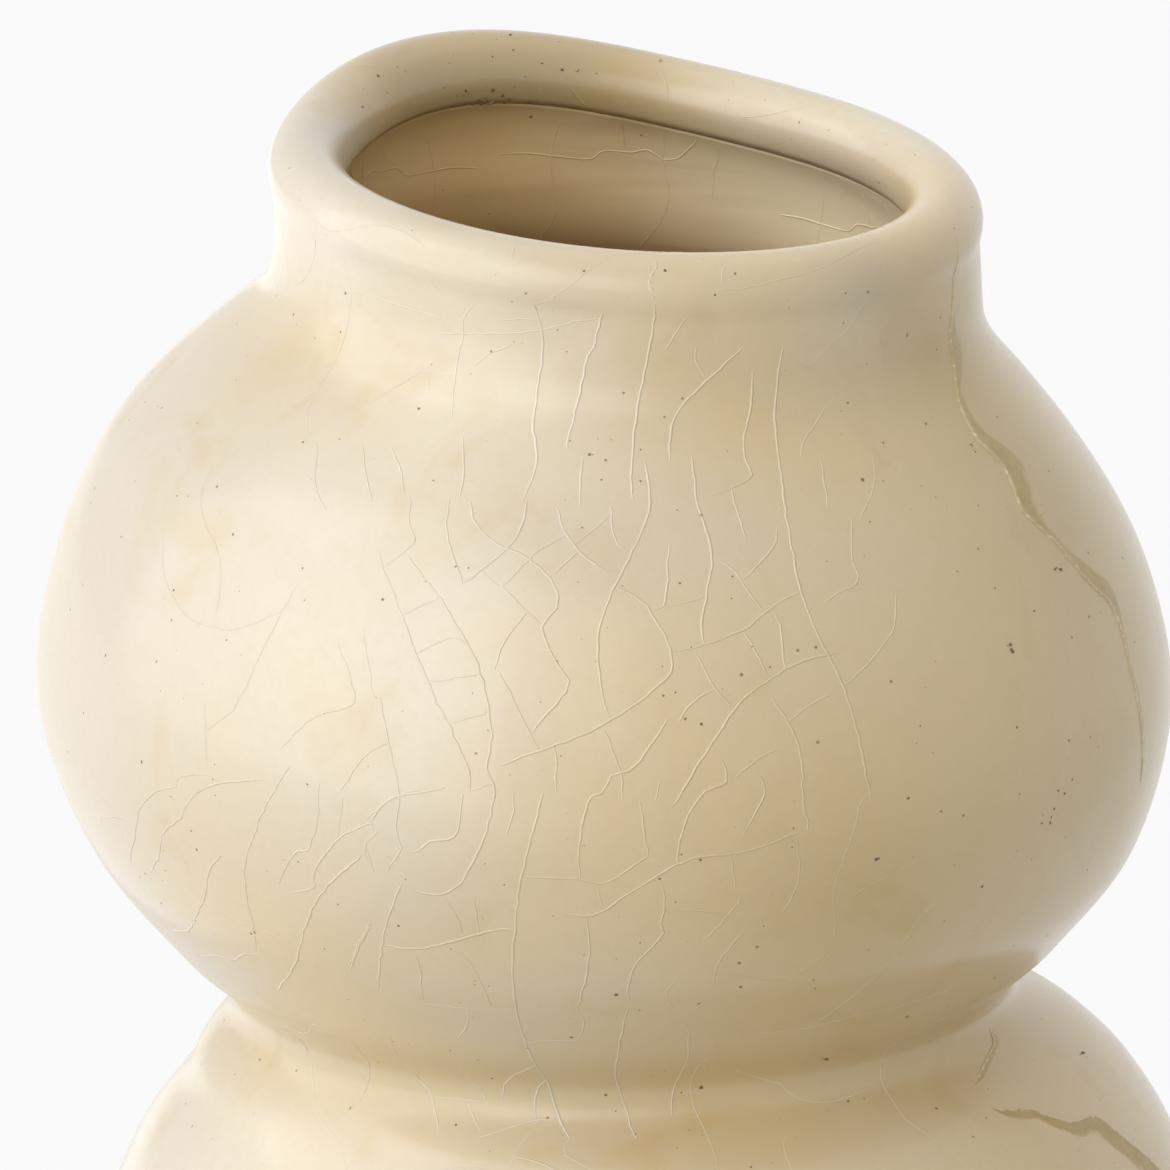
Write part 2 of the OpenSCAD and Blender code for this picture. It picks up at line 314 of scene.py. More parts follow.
lowerLine = curveThrough([footEdge] + lowerMarks + [flipUp(lowerMarks[-2], waistLow)])
upperLine = curveThrough([flipUp(upperMarks[1], waistTop)] + upperMarks + [flipUp(upperMarks[-2], neckLow)])
collarLine = curveThrough([flipUp(collarMarks[1], neckTop)] + collarMarks + [rollPoint(pot["rollRadius"], 0)])
rollLine = [rollPoint(pot["rollRadius"], blend(pot["rollStart"], pot["rollEnd"], i / pot["rollSteps"]))
            for i in range(1, pot["rollSteps"] + 1)]


# the glaze pools in the creases: height, reach and strength of each
creases = [(79.0, 9.5, 1.0), (163.0, 9.0, 0.5), (24.0, 14.0, 0.5)]


def poolAt(z):
    return sum(k * hump(z - middle, reach) for middle, reach, k in creases)


def evenly(line, gap):
    # the same line with its points a gap apart
    reach = [0.0]
    for a, b in zip(line, line[1:]):
        reach.append(reach[-1] + (b - a).length)
    count = max(2, round(reach[-1] / gap))
    points, at = [], 0
    for i in range(count + 1):
        want = reach[-1] * i / count
        while at < len(line) - 2 and reach[at + 1] < want:
            at += 1
        span = max(reach[at + 1] - reach[at], 1e-9)
        points.append(line[at].lerp(line[at + 1], clamp((want - reach[at]) / span)))
    return points


def movedIn(line, depth, pooled=0.0):
    # the line moved square to itself, to its left, which is into the clay, and back out where glaze pools
    moved = []
    for i, p in enumerate(line):
        along = (line[min(i + 1, len(line) - 1)] - line[max(i - 1, 0)]).normalized()
        moved.append(p - (depth - pooled * poolAt(p.y)) * Vector((along.y, -along.x)))
    return moved


def filled(line, low, high, rounds):
    # the line with the crease between two heights rubbed round, which only ever adds glaze there
    for turn in range(rounds):
        line = [(line[i - 1] + p * 2 + line[i + 1]) / 4 if low < p.y < high else p
                for i, p in enumerate(line)]
    return line


def levelAt(z, levels):
    if z < levels[0][0]:
        return levels[0][1]
    for (low, a), (high, b) in zip(levels, levels[1:]):
        if z <= high:
            return blend(a, b, ease(clamp((z - low) / (high - low))))
    return levels[-1][1]


lowerHold = blend(pot["lowerBelly"], pot["waistLow"], pot["lowerHold"])
upperHold = blend(pot["upperBelly"], pot["neckLow"], pot["upperHold"])
shoulder = blend(pot["upperBelly"], pot["neckLow"], pot["shoulder"])
leanLevels = [(pot["floorTop"], 0), (pot["lowerBelly"], pot["lowerLean"]), (lowerHold, pot["lowerLean"]),
              (pot["waistLow"], pot["waistLean"]), (pot["upperBelly"], -pot["upperLean"]),
              (upperHold, -pot["upperLean"]), (pot["neckLow"], pot["neckLean"]), (pot["rollHeight"], 0)]
sideLevels = [(pot["floorTop"], 0), (pot["lowerBelly"], 0), (pot["waistLow"], tanDegrees(pot["waistTilt"])),
              (pot["upperBelly"], -tanDegrees(pot["waistTilt"])),
              (shoulder, -tanDegrees(pot["shoulderTilt"])), (pot["neckLow"], -tanDegrees(pot["neckTilt"])),
              (pot["rollHeight"], -tanDegrees(pot["lipTilt"]))]
nodLevels = [(pot["upperBelly"], 0), (pot["neckLow"], pot["nodAtNeck"] * tanDegrees(pot["lipNod"])),
             (pot["rollHeight"], tanDegrees(pot["lipNod"]))]
cornerRise = (pot["neckLow"] - pot["upperBelly"]) / 2


def outlineMesh(name, line):
    # an outline, with what each ring of the turned piece needs to know
    ring, sway, hold = [], [], []
    for p in line:
        ring.append((p.x * mm, p.y * mm, poolAt(p.y)))
        sway.append((levelAt(p.y, leanLevels) * mm, levelAt(p.y, sideLevels), levelAt(p.y, nodLevels)))
        hold.append((hump(p.y - pot["rollHeight"], cornerRise),
                     clamp((p.y - pot["floorTop"]) / (pot["lowerBelly"] - pot["floorTop"])), 0.0))
    points = [(p.x * mm, 0, p.y * mm) for p in line]
    return lineMesh(name, points, [(i, i + 1) for i in range(len(line) - 1)],
                    {"ring": ring, "sway": sway, "hold": hold})


def turnedTree():
    # an outline turned round the axis, then leaned, dipped and dented as the potter left it
    net = ShapeTree("turnedOnTheWheel", {
        "Columns": "Int", "Corner way": "Float", "Corner spread": "Float", "Corner lift": "Float",
        "Corner push": "Float", "Dent depth": "Float", "Dent size": "Float", "Dent fade": "Float",
        "Seed": "Float"})
    outline = net["Shape"]
    grid, row, column = net.sheet(outline)
    mapped = net.store(grid, "skinMap", grid.out("UV Map"), "FLOAT2", "CORNER")
    radius, height, pool = net.pointOf(outline, net.named("ring"), row).parts()
    lean, side, nod = net.pointOf(outline, net.named("sway"), row).parts()
    cornerHold, grip = net.pointOf(outline, net.named("hold"), row).parts()[:2]
    angle = column / net["Columns"] * (2 * math.pi) + math.pi / 2  # the map starts at the back
    fromCorner = (angle - net["Corner way"] + math.pi) % (2 * math.pi) - math.pi
    spread = fromCorner / net["Corner spread"]
    corner = (-(spread * spread)).math("EXPONENT") * cornerHold
    cosine, sine = angle.math("COSINE"), angle.math("SINE")
    around = net.vector(cosine * radius, sine * radius, height + net["Seed"])
    dents = net.add("ShaderNodeTexNoise", {},
                    {"Vector": around, "Scale": 1.0 / net["Dent size"], "Detail": 1.0})
    nearAxis = (radius / net["Dent fade"]).math("MINIMUM", 1.0)
    soft = dents.eased(0.3, 0.7) * net["Dent depth"] * nearAxis * (1 - pool)
    reach = radius * (1 + corner * net["Corner push"]) - soft
    x, y = cosine * reach, sine * reach
    lifted = side * x + nod * y + corner * radius * net["Corner lift"]
    place = net.vector(x + lean, y, height + grip * lifted)
    shaped = net.add("GeometryNodeSetPosition", {}, {"Geometry": mapped, "Position": place})
    net.close(net.weld(net.store(shaped, "pool", pool)))
    return net


turned = turnedTree()


def turnPiece(name, line, finish):
    piece = turned.build(name, outlineMesh(name + "Line", line), {
        "Columns": pot["columns"], "Corner way": math.radians(pot["cornerWay"]),
        "Corner spread": math.radians(pot["cornerSpread"]),
        "Corner lift": pot["cornerLift"] / pot["lipRadius"],
        "Corner push": pot["cornerPush"] / pot["lipRadius"], "Dent depth": pot["dentDepth"] * mm,
        "Dent size": pot["dentSize"] * mm, "Dent fade": pot["dentFade"] * mm, "Seed": float(pot["seed"]),
        "Finish": finish})
    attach(piece, "root")
    return piece


# what lies on the glaze: every point of it is found through the skin's own map

def onSkin(net, spot):
    skin = net.add("GeometryNodeObjectInfo", {}, {"Object": net["Skin"]}).out("Geometry")

    def sampled(value):
        return net.add("GeometryNodeSampleUVSurface", {"data_type": "FLOAT_VECTOR"},
                       {"Mesh": skin, "Value": value, "UV Map": net.named("skinMap"), "Sample UV": spot})
    return sampled(net.add("GeometryNodeInputPosition")), sampled(net.add("GeometryNodeInputNormal"))


def threadTree():
    # thin raised lines that lie flat on the skin along drawn paths
    net = ShapeTree("glazeThreads", {
        "Skin": "Object", "Sides": "Int", "Flatness": "Float", "Sunk share": "Float"})
    path = net.add("GeometryNodeMeshToCurve", {}, {"Mesh": net["Shape"]})
    place, up = onSkin(net, net.add("GeometryNodeInputPosition"))
    thick = net.named("thick", "FLOAT")
    marked = net.store(path, "up", up, "FLOAT_VECTOR")
    sunk = up.times(thick * net["Sunk share"] * -1)
    laid = net.add("GeometryNodeSetPosition", {}, {"Geometry": marked, "Position": place.plus(sunk)})
    upright = net.add("GeometryNodeSetCurveNormal", {"mode": "FREE"},
                      {"Curve": laid, "Normal": net.named("up")})
    ring = net.add("GeometryNodeCurvePrimitiveCircle", {"mode": "RADIUS"},
                   {"Resolution": net["Sides"], "Radius": 1.0})
    oval = net.add("GeometryNodeTransform", {},
                   {"Geometry": ring, "Scale": net.vector(net["Flatness"], 1.0, 1.0)})
    thread = net.add("GeometryNodeCurveToMesh", {}, {"Curve": upright, "Profile Curve": oval, "Scale": thick,
                                                     "Fill Caps": True})
    net.close(thread)
    return net


def runTree():
    # thick glaze between two edges: a ragged bead along the first, and a shelf that thins out to the second
    net = ShapeTree("glazeRun", {
        "Skin": "Object", "Columns": "Int", "Bead height": "Float", "Bead width": "Float",
        "Shelf height": "Float", "Ragged": "Float", "Sunk": "Float", "Belly": "Float", "Lip": "Float",
        "Settle": "Float", "Tip depth": "Float", "Narrowest": "Float", "Jag scale": "Float",
        "Sway scale": "Float", "Sway share": "Float", "Steady share": "Float", "Point gap": "Float",
        "Seed": "Float"})
    path = net["Shape"]
    grid, row, column = net.sheet(path)
    loop = column / net["Columns"]  # over the top to the second edge, and back below
    fold = 1 - (loop * 2 - 1).math("ABSOLUTE")
    across = fold * fold
    spot = net.pointOf(path, net.add("GeometryNodeInputPosition"), row)
    width, beadShare, taper = net.pointOf(path, net.named("swell"), row).parts()
    onTop = (loop < 0.5) * (across * width).eased(0.0, net["Lip"])
    along = row * net["Point gap"] + net["Seed"]
    jag = net.noiseAlong(along, net["Jag scale"], 3.0) - 0.5
    sway = net.noiseAlong(along, net["Sway scale"], 2.0)
    crest = (across * width - net["Bead width"]) / net["Bead width"]
    rough = sway * net["Sway share"] + jag + net["Steady share"]
    bead = (-(crest * crest)).math("EXPONENT") * beadShare * rough
    shelf = across.eased(1.0, 0.1)
    top = bead * net["Bead height"] + shelf * net["Shelf height"] - net["Settle"]
    below = across * (1 - across) * -net["Belly"] - net["Sunk"]
    height = (below + (top - below) * onTop) * taper - (1 - taper) * net["Tip depth"]
    shift = across * taper + jag * net["Ragged"] * (1 - across) / width.math("MAXIMUM", net["Narrowest"])
    aside = net.pointOf(path, net.named("aside"), row)
    place, up = onSkin(net, spot.plus(aside.times(shift)))
    shaped = net.add("GeometryNodeSetPosition", {},
                     {"Geometry": grid, "Position": place.plus(up.times(height))})
    for name, value in (("across", across), ("inland", across * width)):
        shaped = net.store(shaped, name, value)
    net.close(net.weld(shaped))
    return net


def crumbTree():
    # grit stuck to the glaze
    net = ShapeTree("glazeCrumbs", {
        "Skin": "Object", "Seed": "Int", "Smallest": "Float", "Largest": "Float", "Flattest": "Float",
        "Most turn": "Float"})
    place = onSkin(net, net.add("GeometryNodeInputPosition"))[0]
    laid = net.add("GeometryNodeSetPosition", {}, {"Geometry": net["Shape"], "Position": place})
    points = net.add("GeometryNodeMeshToPoints", {}, {"Mesh": laid, "Radius": net["Smallest"]})
    ball = net.add("GeometryNodeMeshIcoSphere", {}, {"Radius": 1.0, "Subdivisions": 2})
    size = net.add("FunctionNodeRandomValue", {"data_type": "FLOAT"},
                   {"Min": net["Smallest"], "Max": net["Largest"], "Seed": net["Seed"]})
    flat = net.add("FunctionNodeRandomValue", {"data_type": "FLOAT"},
                   {"Min": net["Flattest"], "Max": 1.0, "Seed": 5})
    most = net.vector(net["Most turn"], net["Most turn"], net["Most turn"])
    turn = net.add("FunctionNodeRandomValue", {"data_type": "FLOAT_VECTOR"}, {"Max": most, "Seed": 9})
    net.close(net.add("GeometryNodeInstanceOnPoints", {}, {
        "Points": points, "Instance": ball, "Scale": net.vector(size, size * flat, size),
        "Rotation": net.add("FunctionNodeEulerToRotation", {}, {0: turn})}))
    return net


# clay and glaze

def newFinish(name, values):
    finish = bpy.data.materials.new(name)
    finish.use_nodes = True
    shader = finish.node_tree.nodes["Principled BSDF"]
    net = Net(finish.node_tree)
    for key, value in values.items():
        net.feed(shader.inputs[key], value)
    place = net.add("ShaderNodeTexCoord").out("Object").times(1000.0)  # millimetres
    return finish, net, shader, place


# of a dot: its least size and least darkness, how ragged it is and over what size in mm, and its soft rim
dotLook = {"smallest": 0.25, "faintest": 0.6, "ragged": 0.5, "raggedSize": 0.25, "softShare": 0.25}


def speckle(net, place, gap, size, share):
    # dark dots: one may lie in each cell, and only a share of the cells has one
    look = dotLook
    cells = net.add("ShaderNodeTexVoronoi", {"feature": "F1"}, {"Vector": place, "Scale": 1.0 / gap})
    pick = net.add("ShaderNodeSeparateColor", {}, {0: cells.out("Color")})
    radius = (pick.out("Red") * (1 - look["smallest"]) + look["smallest"]) * (size / gap)
    ragged = net.noise(place, look["raggedSize"], 1.0) * look["ragged"] + (1 - look["ragged"] / 2)
    shown = (radius * ragged - cells).eased(0.0, size / gap * look["softShare"])
    picked = shown * (pick.out("Green") < share)
    return picked * (pick.out("Blue") * (1 - look["faintest"]) + look["faintest"])


glazeLook = {
    "cream": (0.74, 0.575, 0.325), "milk": (0.66, 0.585, 0.465), "tan": (0.60, 0.435, 0.18),
    "olive": (0.52, 0.37, 0.13), "deepOlive": (0.46, 0.32, 0.09), "pale": (0.82, 0.76, 0.64),
    # the dark tone of the dark patches is painted shade
    "dusk": (0.40, 0.31, 0.19), "speck": (0.10, 0.055, 0.025),
    "coat": 0.8, "coatRoughness": 0.17, "runCoat": 0.65, "underCoat": 0.45, "ior": 1.5,
    "roughness": 0.5, "threadRoughness": 0.42, "roughnessDrift": 0.12,
    "cloudSize": 42.0, "patchSize": 17.0, "grainSize": 1.6, "streakSize": 2.2, "crowdSize": 30.0,
    # the share per mm that makes the lit left side milkier is painted sheen
    "driftScale": 0.07, "drift": 9.0, "leanShare": 0.008, "milkShare": 0.75, "poolWarmth": 0.58,
    "patchWarmth": 0.3, "grainShare": 0.10,
    "peelSize": 2.4, "swellSize": 9.0, "swellShare": 2.0, "peel": 0.35, "peelDepth": 0.12 * mm,
    # a run: where it turns cream across its width, and its cream edge and painted glints in mm from that edge
    "runFade": (0.6, 0.95), "runEdge": (0.5, 0.3),
    "tickEdge": (0.75, 0.45), "tickSize": 0.6, "tickShare": 0.6,
    # dark dots: the cell, the largest dot, both in mm, and the share of cells with a dot
    "specks": (2.2, 0.24, 0.6), "smallSpecks": (1.6, 0.16, 0.55), "largeSpecks": (5.0, 0.38, 0.3),
}
# pale patches of painted highlight; warm patches of thin glaze and painted shade; plain cream where the
# painted sheen is taken out; dark patches of painted shade; and a dull coat: x, y, z and reach in mm, and a
# share
# pale patches of painted highlight, where the reflections of the lamps fall
paintedHighlightPatches = [(-22, -40, 164, 9, 0.9), (-34, -25, 168, 12, 0.6), (-10, -45, 162, 11, 0.9),
               (-44, -30, 72, 18, 1), (-22, -46, 70, 13, 0.5), (28, -42, 73, 16, 0.5),
               (-38, -54, 141, 18, 0.35), (-27, -61, 128, 18, 0.5), (28, -34, 168, 10, 0.5),
               (14, 34, 181, 13, 0.6), (34, 20, 179, 14, 0.8), (-36, -20, 179, 14, 0.3)]
# warm tan patches: thin glaze, and painted shade on the back of the lip and under the right belly
warmGlazeAndShadePatches = [(-23, 29, 187, 15, 1.4), (-8, 35, 184, 14, 1.1), (25, -61, 107, 19, 0.7),
               (38, -19, 162, 10, 0.5), (52, -21, 145, 17, 0.6), (-41, -21, 161, 7, 0.3)]
creamPatches = [(-44, -50, 98, 22, 0.7), (-36, -46, 86, 14, 0.5)]
# dark patches of painted shade: the back of the lip, under the lip and on the right shoulder
paintedShadePatches = [(-27, 25, 186, 9, 0.55), (-16, 32, 185, 8, 0.35), (-6, 35, 184, 9, 0.5),
               (-10, -45, 174, 6, 0.25), (29, -33, 174, 8, 0.3), (52, -21, 145, 14, 0.2)]
dullPatches = [(-72, 5, 118, 42, 0.75)]


def patchShare(net, place, patches):
    total = 0.0
    for x, y, z, reach, share in patches:
        away = net.add("ShaderNodeVectorMath", {"operation": "DISTANCE"}, {0: place, 1: (x, y, z)})
        gap = away.out("Value")
        total = (gap * gap * (-1.0 / reach ** 2)).math("EXPONENT") * share + total
    return total


def glazeColour(net, place, pool):
    # cream glaze, milky where thick and even and towards the lit left side, which is painted sheen; pale
    # patches of painted highlight; warm where it thins or pools, and patches of painted shade; noises and
    # dots that are alike are shifted, so that no two fall in the same places
    look = glazeLook
    cloud = net.noise(place, look["cloudSize"], 2.0, 0.5, 0.6)
    patch = net.noise(place.plus((31.0, 7.0, 11.0)), look["patchSize"], 3.0, 0.55, 0.8)
    grain = net.noise(place, look["grainSize"], 3.0, 0.6)
    # milkier towards the left, the lit side: painted sheen over the glaze's own cloudy tone
    thick = cloud * 1.2 - place.parts()[0] * look["leanShare"] - 0.6
    wander = net.add("ShaderNodeTexNoise", {}, {"Vector": place, "Scale": look["driftScale"], "Detail": 2.0})
    drift = place.plus(wander.out("Color").times(look["drift"])).plus((-look["drift"] / 2,) * 3)
    # plain cream patches take the painted sheen out low on the left
    thick = thick.eased(-0.35, 0.55) * (1 - patchShare(net, drift, creamPatches))
    milk = net.tint(thick.math("MAXIMUM", 0.0), look["cream"], look["milk"])
    # pale patches: painted highlight
    paintedHighlight = (patchShare(net, drift, paintedHighlightPatches) * look["milkShare"]).math("MINIMUM", 0.8)
    milk = net.tint(paintedHighlight, milk, look["pale"])
    warmth = pool * look["poolWarmth"] + patch.eased(0.54, 0.74) * look["patchWarmth"]
    # warm patches: thin glaze and painted shade
    warmth = (warmth + patchShare(net, drift, warmGlazeAndShadePatches)).math("MINIMUM", 0.9)
    warm = net.tint(warmth, milk, look["tan"])
    # dark patches: painted shade
    warm = net.tint(patchShare(net, drift, paintedShadePatches), warm, look["dusk"])
    grainy = net.tint(grain.eased(0.35, 0.75) * look["grainShare"], warm, look["tan"])
    crowd = net.noise(place.plus((0.0, 40.0, 3.0)), look["crowdSize"], 1.0).eased(0.4, 0.62)
    dots = speckle(net, place, *look["specks"]) \
        + speckle(net, place.plus((5.0, 2.0, 9.0)), *look["smallSpecks"]) * crowd \
        + speckle(net, place.plus((1.0, 8.0, 4.0)), *look["largeSpecks"])
    dots = dots.math("MINIMUM", 0.9)
    coat = (1 - dots) * (1 - patchShare(net, place, dullPatches)) * look["coat"]
    return net.tint(dots, grainy, look["speck"]), coat, grain, cloud


def glossyFinish(name):
    return newFinish(name, {"Coat Roughness": glazeLook["coatRoughness"],
                            "Specular IOR Level": glazeLook["underCoat"], "IOR": glazeLook["ior"]})


def dress(net, shader, colour, roughness, coat=None, normal=None):
    sockets = {"Base Color": colour, "Coat Weight": coat, "Roughness": roughness, "Normal": normal}
    for name, value in sockets.items():
        if value is not None:
            net.feed(shader.inputs[name], value)


def creamGlaze():
    look = glazeLook
    finish, net, shader, place = glossyFinish("creamCrackleGlaze")
    colour, coat, grain, cloud = glazeColour(net, place, net.mark("pool"))
    swell = net.noise(place, look["swellSize"], 1.0) * look["swellShare"]
    peel = net.bump(net.noise(place, look["peelSize"], 2.0) + swell, look["peel"], look["peelDepth"])
    dress(net, shader, colour, cloud * look["roughnessDrift"] + (look["roughness"] - 0.06), coat, peel)
    return finish


def threadGlaze():
    # the crackle lines: the same glaze, a little paler
    finish, net, shader, place = glossyFinish("crackleLineGlaze")
    cream, coat, grain, cloud = glazeColour(net, place, net.number(0.0))
    dress(net, shader, net.tint(cloud.eased(0.3, 0.7) * 0.08 + 0.03, cream, glazeLook["pale"]),
          grain * 0.1 + glazeLook["threadRoughness"], coat)
    return finish


def runGlaze():
    # olive where the run is thick, a cream edge with a few pale painted glints along its bead, the pot's own
    # cream where it thins out
    look = glazeLook
    finish, net, shader, place = glossyFinish("pooledRunGlaze")
    across = net.mark("across")
    inland = net.mark("inland") * 1000.0  # millimetres from the first edge
    cream, coat, grain, cloud = glazeColour(net, place, net.number(0.1))
    streak = net.noise(place, look["streakSize"], 3.0, 0.6)
    pooled = net.tint(streak.eased(0.3, 0.7), look["olive"], look["deepOlive"])
    body = net.tint((across + (streak - 0.5) * 0.8).eased(*look["runFade"]), pooled, cream)
    edged = net.tint((inland + (grain - 0.5) * 0.3).eased(*look["runEdge"]), body, cream)
    # pale dots along the bead's edge: painted glints
    paintedGlints = net.noise(place, look["tickSize"], 2.0).eased(0.54, 0.62) * inland.eased(*look["tickEdge"])
    dress(net, shader, net.tint(paintedGlints * look["tickShare"], edged, look["pale"]),
          cloud * look["roughnessDrift"] + (look["roughness"] - 0.08), coat * look["runCoat"])
    return finish


crumbLook = {
    "dark": (0.15, 0.085, 0.04), "light": (0.56, 0.42, 0.23), "size": 0.9, "coat": 0.3, "coatRoughness": 0.2,
}


def gritCrumb():
    finish, net, shader, place = newFinish("gritCrumb", {
        "Coat Weight": crumbLook["coat"], "Coat Roughness": crumbLook["coatRoughness"],
        "IOR": glazeLook["ior"]})
    tone = net.noise(place, crumbLook["size"], 2.0)
    colour = net.tint(tone.eased(0.53, 0.62), crumbLook["dark"], crumbLook["light"])
    dress(net, shader, colour, tone * 0.3 + 0.3)
    return finish


linerLook = {
    # the right, deep and lit tones paint light and shade inside the mouth
    "right": (1.0, 0.88, 0.60), "left": (0.72, 0.515, 0.24), "blotch": (0.62, 0.43, 0.20),
    "ring": (0.52, 0.34, 0.16), "deep": (0.55, 0.345, 0.145), "lit": (1.0, 0.87, 0.60),
    "blotchShare": 0.28, "ringShare": 0.3, "deepShare": 0.7, "litShare": 0.9,
    "blotchSize": 24.0, "ringSize": 3.6, "specks": (3.6, 0.3, 0.22), "smallSpecks": (2.0, 0.17, 0.18),
    "coat": 0.7, "coatRoughness": 0.1, "underCoat": 0.3, "roughness": 0.22,
    "waveSize": 3.0, "wave": 0.3, "waveDepth": 0.15 * mm,
    # in mm: from the lighter right side to the left, which is painted light, from the mouth down, which is
    # painted shade, and the patch that the light reaches, which is painted light
    "across": (30.0, -25.0), "downwards": (176.0, 150.0),
    "litAcross": (2.0, 30.0), "litUpwards": (150.0, 166.0),
    "drawnOut": (0.1, 0.1, 1.0),
}


def linerGlaze():
    look = linerLook
    finish, net, shader, place = newFinish("linerGlaze", {
        "Coat Weight": look["coat"], "Coat Roughness": look["coatRoughness"],
        "Specular IOR Level": look["underCoat"], "IOR": glazeLook["ior"]})
    cloud = net.noise(place, look["blotchSize"], 2.0, 0.5, 0.5)
    side, depth, height = place.parts()
    # lighter on the right side, where light falls in through the mouth: painted light
    paintedLightAcross = net.tint(side.eased(*look["across"]), look["right"], look["left"])
    blotch = net.tint(cloud.eased(0.35, 0.65) * look["blotchShare"], paintedLightAcross, look["blotch"])
    # throwing rings: the noise is drawn out round the pot
    flat = net.add("ShaderNodeVectorMath", {"operation": "MULTIPLY"}, {0: place, 1: look["drawnOut"]})
    rings = net.noise(flat, look["ringSize"], 2.0, 0.5, 0.3).eased(0.42, 0.66) * look["ringShare"]
    ringed = net.tint(rings, blotch, look["ring"])
    # darker down from the mouth: painted shade
    deep = net.tint(height.eased(*look["downwards"]) * look["deepShare"], ringed, look["deep"])
    # a painted patch of light on the inner right wall
    lit = side.eased(*look["litAcross"]) * height.eased(*look["litUpwards"]) * look["litShare"]
    dots = speckle(net, place, *look["specks"]) \
        + speckle(net, place.plus((4.0, 1.0, 6.0)), *look["smallSpecks"])
    colour = net.tint(dots.math("MINIMUM", 0.85), net.tint(lit, deep, look["lit"]), glazeLook["speck"])
    dress(net, shader, colour, cloud * 0.2 + look["roughness"],
          normal=net.bump(net.noise(place, look["waveSize"], 2.0), look["wave"], look["waveDepth"]))
    return finish


clayLook = {
    "grainSize": 0.7, "cloudSize": 9.0, "cloudShare": 0.35,
    "grit": (1.8, 0.2, 0.3), "gritShade": (0.09, 0.05, 0.03),
    "toast": (0.42, 0.22, 0.10), "toastShare": 0.55, "toastFrom": 5.4, "toastTo": 7.2,
    "roughness": 0.68, "bump": 0.5, "bumpDepth": 0.2 * mm, "ior": 1.45,
}


def stoneware(name, light, dark, toasted=False):
    # bare fired clay with grit; toasted just under the glaze edge
    look = clayLook
    finish, net, shader, place = newFinish(name, {"IOR": look["ior"]})
    grain = net.noise(place, look["grainSize"], 4.0, 0.65)
    cloud = net.noise(place, look["cloudSize"], 2.0)
    colour = net.tint(grain.eased(0.3, 0.7), light, dark)
    colour = net.tint(cloud.eased(0.35, 0.7) * look["cloudShare"], colour, dark)
    if toasted:
        toast = place.parts()[2].eased(look["toastFrom"], look["toastTo"]) * look["toastShare"]
        colour = net.tint(toast, colour, look["toast"])
    dots = speckle(net, place, *look["grit"])
    dress(net, shader, net.tint(dots * 0.8, colour, look["gritShade"]), grain * 0.2 + look["roughness"],
          normal=net.bump(grain, look["bump"], look["bumpDepth"]))
    return finish


creamFinish = creamGlaze()
threadFinish = threadGlaze()
linerFinish = linerGlaze()
runFinish = runGlaze()
gritFinish = gritCrumb()
bareFinish = stoneware("bareStoneware", (0.60, 0.47, 0.34), (0.45, 0.33, 0.22), True)
bodyFinish = stoneware("bodyStoneware", (0.62, 0.50, 0.37), (0.50, 0.38, 0.27))
slipFinish = stoneware("joiningSlip", (0.50, 0.39, 0.28), (0.38, 0.28, 0.19))
print("finishes made")


# turned pieces

skinShape = {
    # the rounded lower edge: up along the glaze and out from it, in mm
    "edge": [(0.6, -0.62), (0.3, -0.6), (0.02, -0.4), (0.2, -0.12), (0.9, -0.02), (2.4, -0.1), (4.0, -0.1)],
    "edgeSteps": 4, "backGap": 4.0, "backLift": 0.05,
}
inset = pot["inset"]
slope = (floorEdge - bareTop).normalized()
proud = Vector((slope.y, -slope.x))
edge = [bareTop + slope * along + proud * out for along, out in skinShape["edge"]]
edgeFace = curveThrough(edge, skinShape["edgeSteps"])
outerFace = evenly(movedIn([edge[-2]] + lowerLine + upperLine[1:] + collarLine[1:] + rollLine, inset,
                           pot["poolRise"]), pot["ringGap"])
outerFace = filled(outerFace, *pot["neckFill"])
outerBack = evenly(movedIn([bareTop] + lowerLine + upperLine + collarLine[1:] + rollLine,
                           pot["glaze"] - skinShape["backLift"]), skinShape["backGap"])
outerLoop = edgeFace + outerFace[1:] + outerBack[::-1] + [edgeFace[0]]
outerRings = len(outerLoop) - 1

outerGlaze = turnPiece("outerGlazeSkin", outerLoop, creamFinish)
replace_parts(outerGlaze, "outer_glaze")
firstRing = len(edgeFace) - 1  # of the even rings, a ringStep of outline apart
ringStep = (outerFace[1] - outerFace[0]).length

linerShape = {
    "clayGap": 5.0, "clayLift": 0.06, "ringGap": 1.3, "floorDraw": 1.45,
    # how the glaze fills the corner under the ledge: shares of the way in and up
    "corner": [(0.05, 0.25), (0.2, 0.52), (0.5, 0.78), (0.8, 0.91)],
}
insideDepth = pot["glaze"] + pot["wall"]
ledgeHeight = rollPoint(pot["rollRadius"], pot["rollEnd"]).y - pot["glaze"]


def insideLine(extra):
    # from the floor's centre up the inside of the wall to the ledge under the lip
    wall = movedIn(lowerLine + upperLine, insideDepth + extra)
    wall[0] = Vector((pot["floorRadius"] - (insideDepth + extra) * linerShape["floorDraw"],
                      pot["floorTop"] + extra))
    start = Vector((pot["neckRadius"] - insideDepth - extra, pot["neckTop"]))
    ledge = Vector((pot["neckRadius"] - insideDepth - extra, ledgeHeight - extra))
    return [Vector((0, pot["floorTop"] + extra))] + wall + [start, ledge]


clayFace = evenly(insideLine(linerShape["clayLift"]), linerShape["clayGap"])
lipUnder = rollPoint(pot["rollRadius"] - inset, pot["rollEnd"])
neckInside = insideLine(pot["liner"])[:-1]
airFace = evenly(neckInside + between(neckInside[-1], lipUnder, linerShape["corner"]), linerShape["ringGap"])
linerLoop = clayFace + [rollPoint(pot["rollRadius"] - pot["glaze"], pot["rollEnd"]), lipUnder] + airFace[::-1]
liner = turnPiece("linerGlazeSkin", linerLoop, linerFinish)
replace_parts(liner, "liner_glaze")

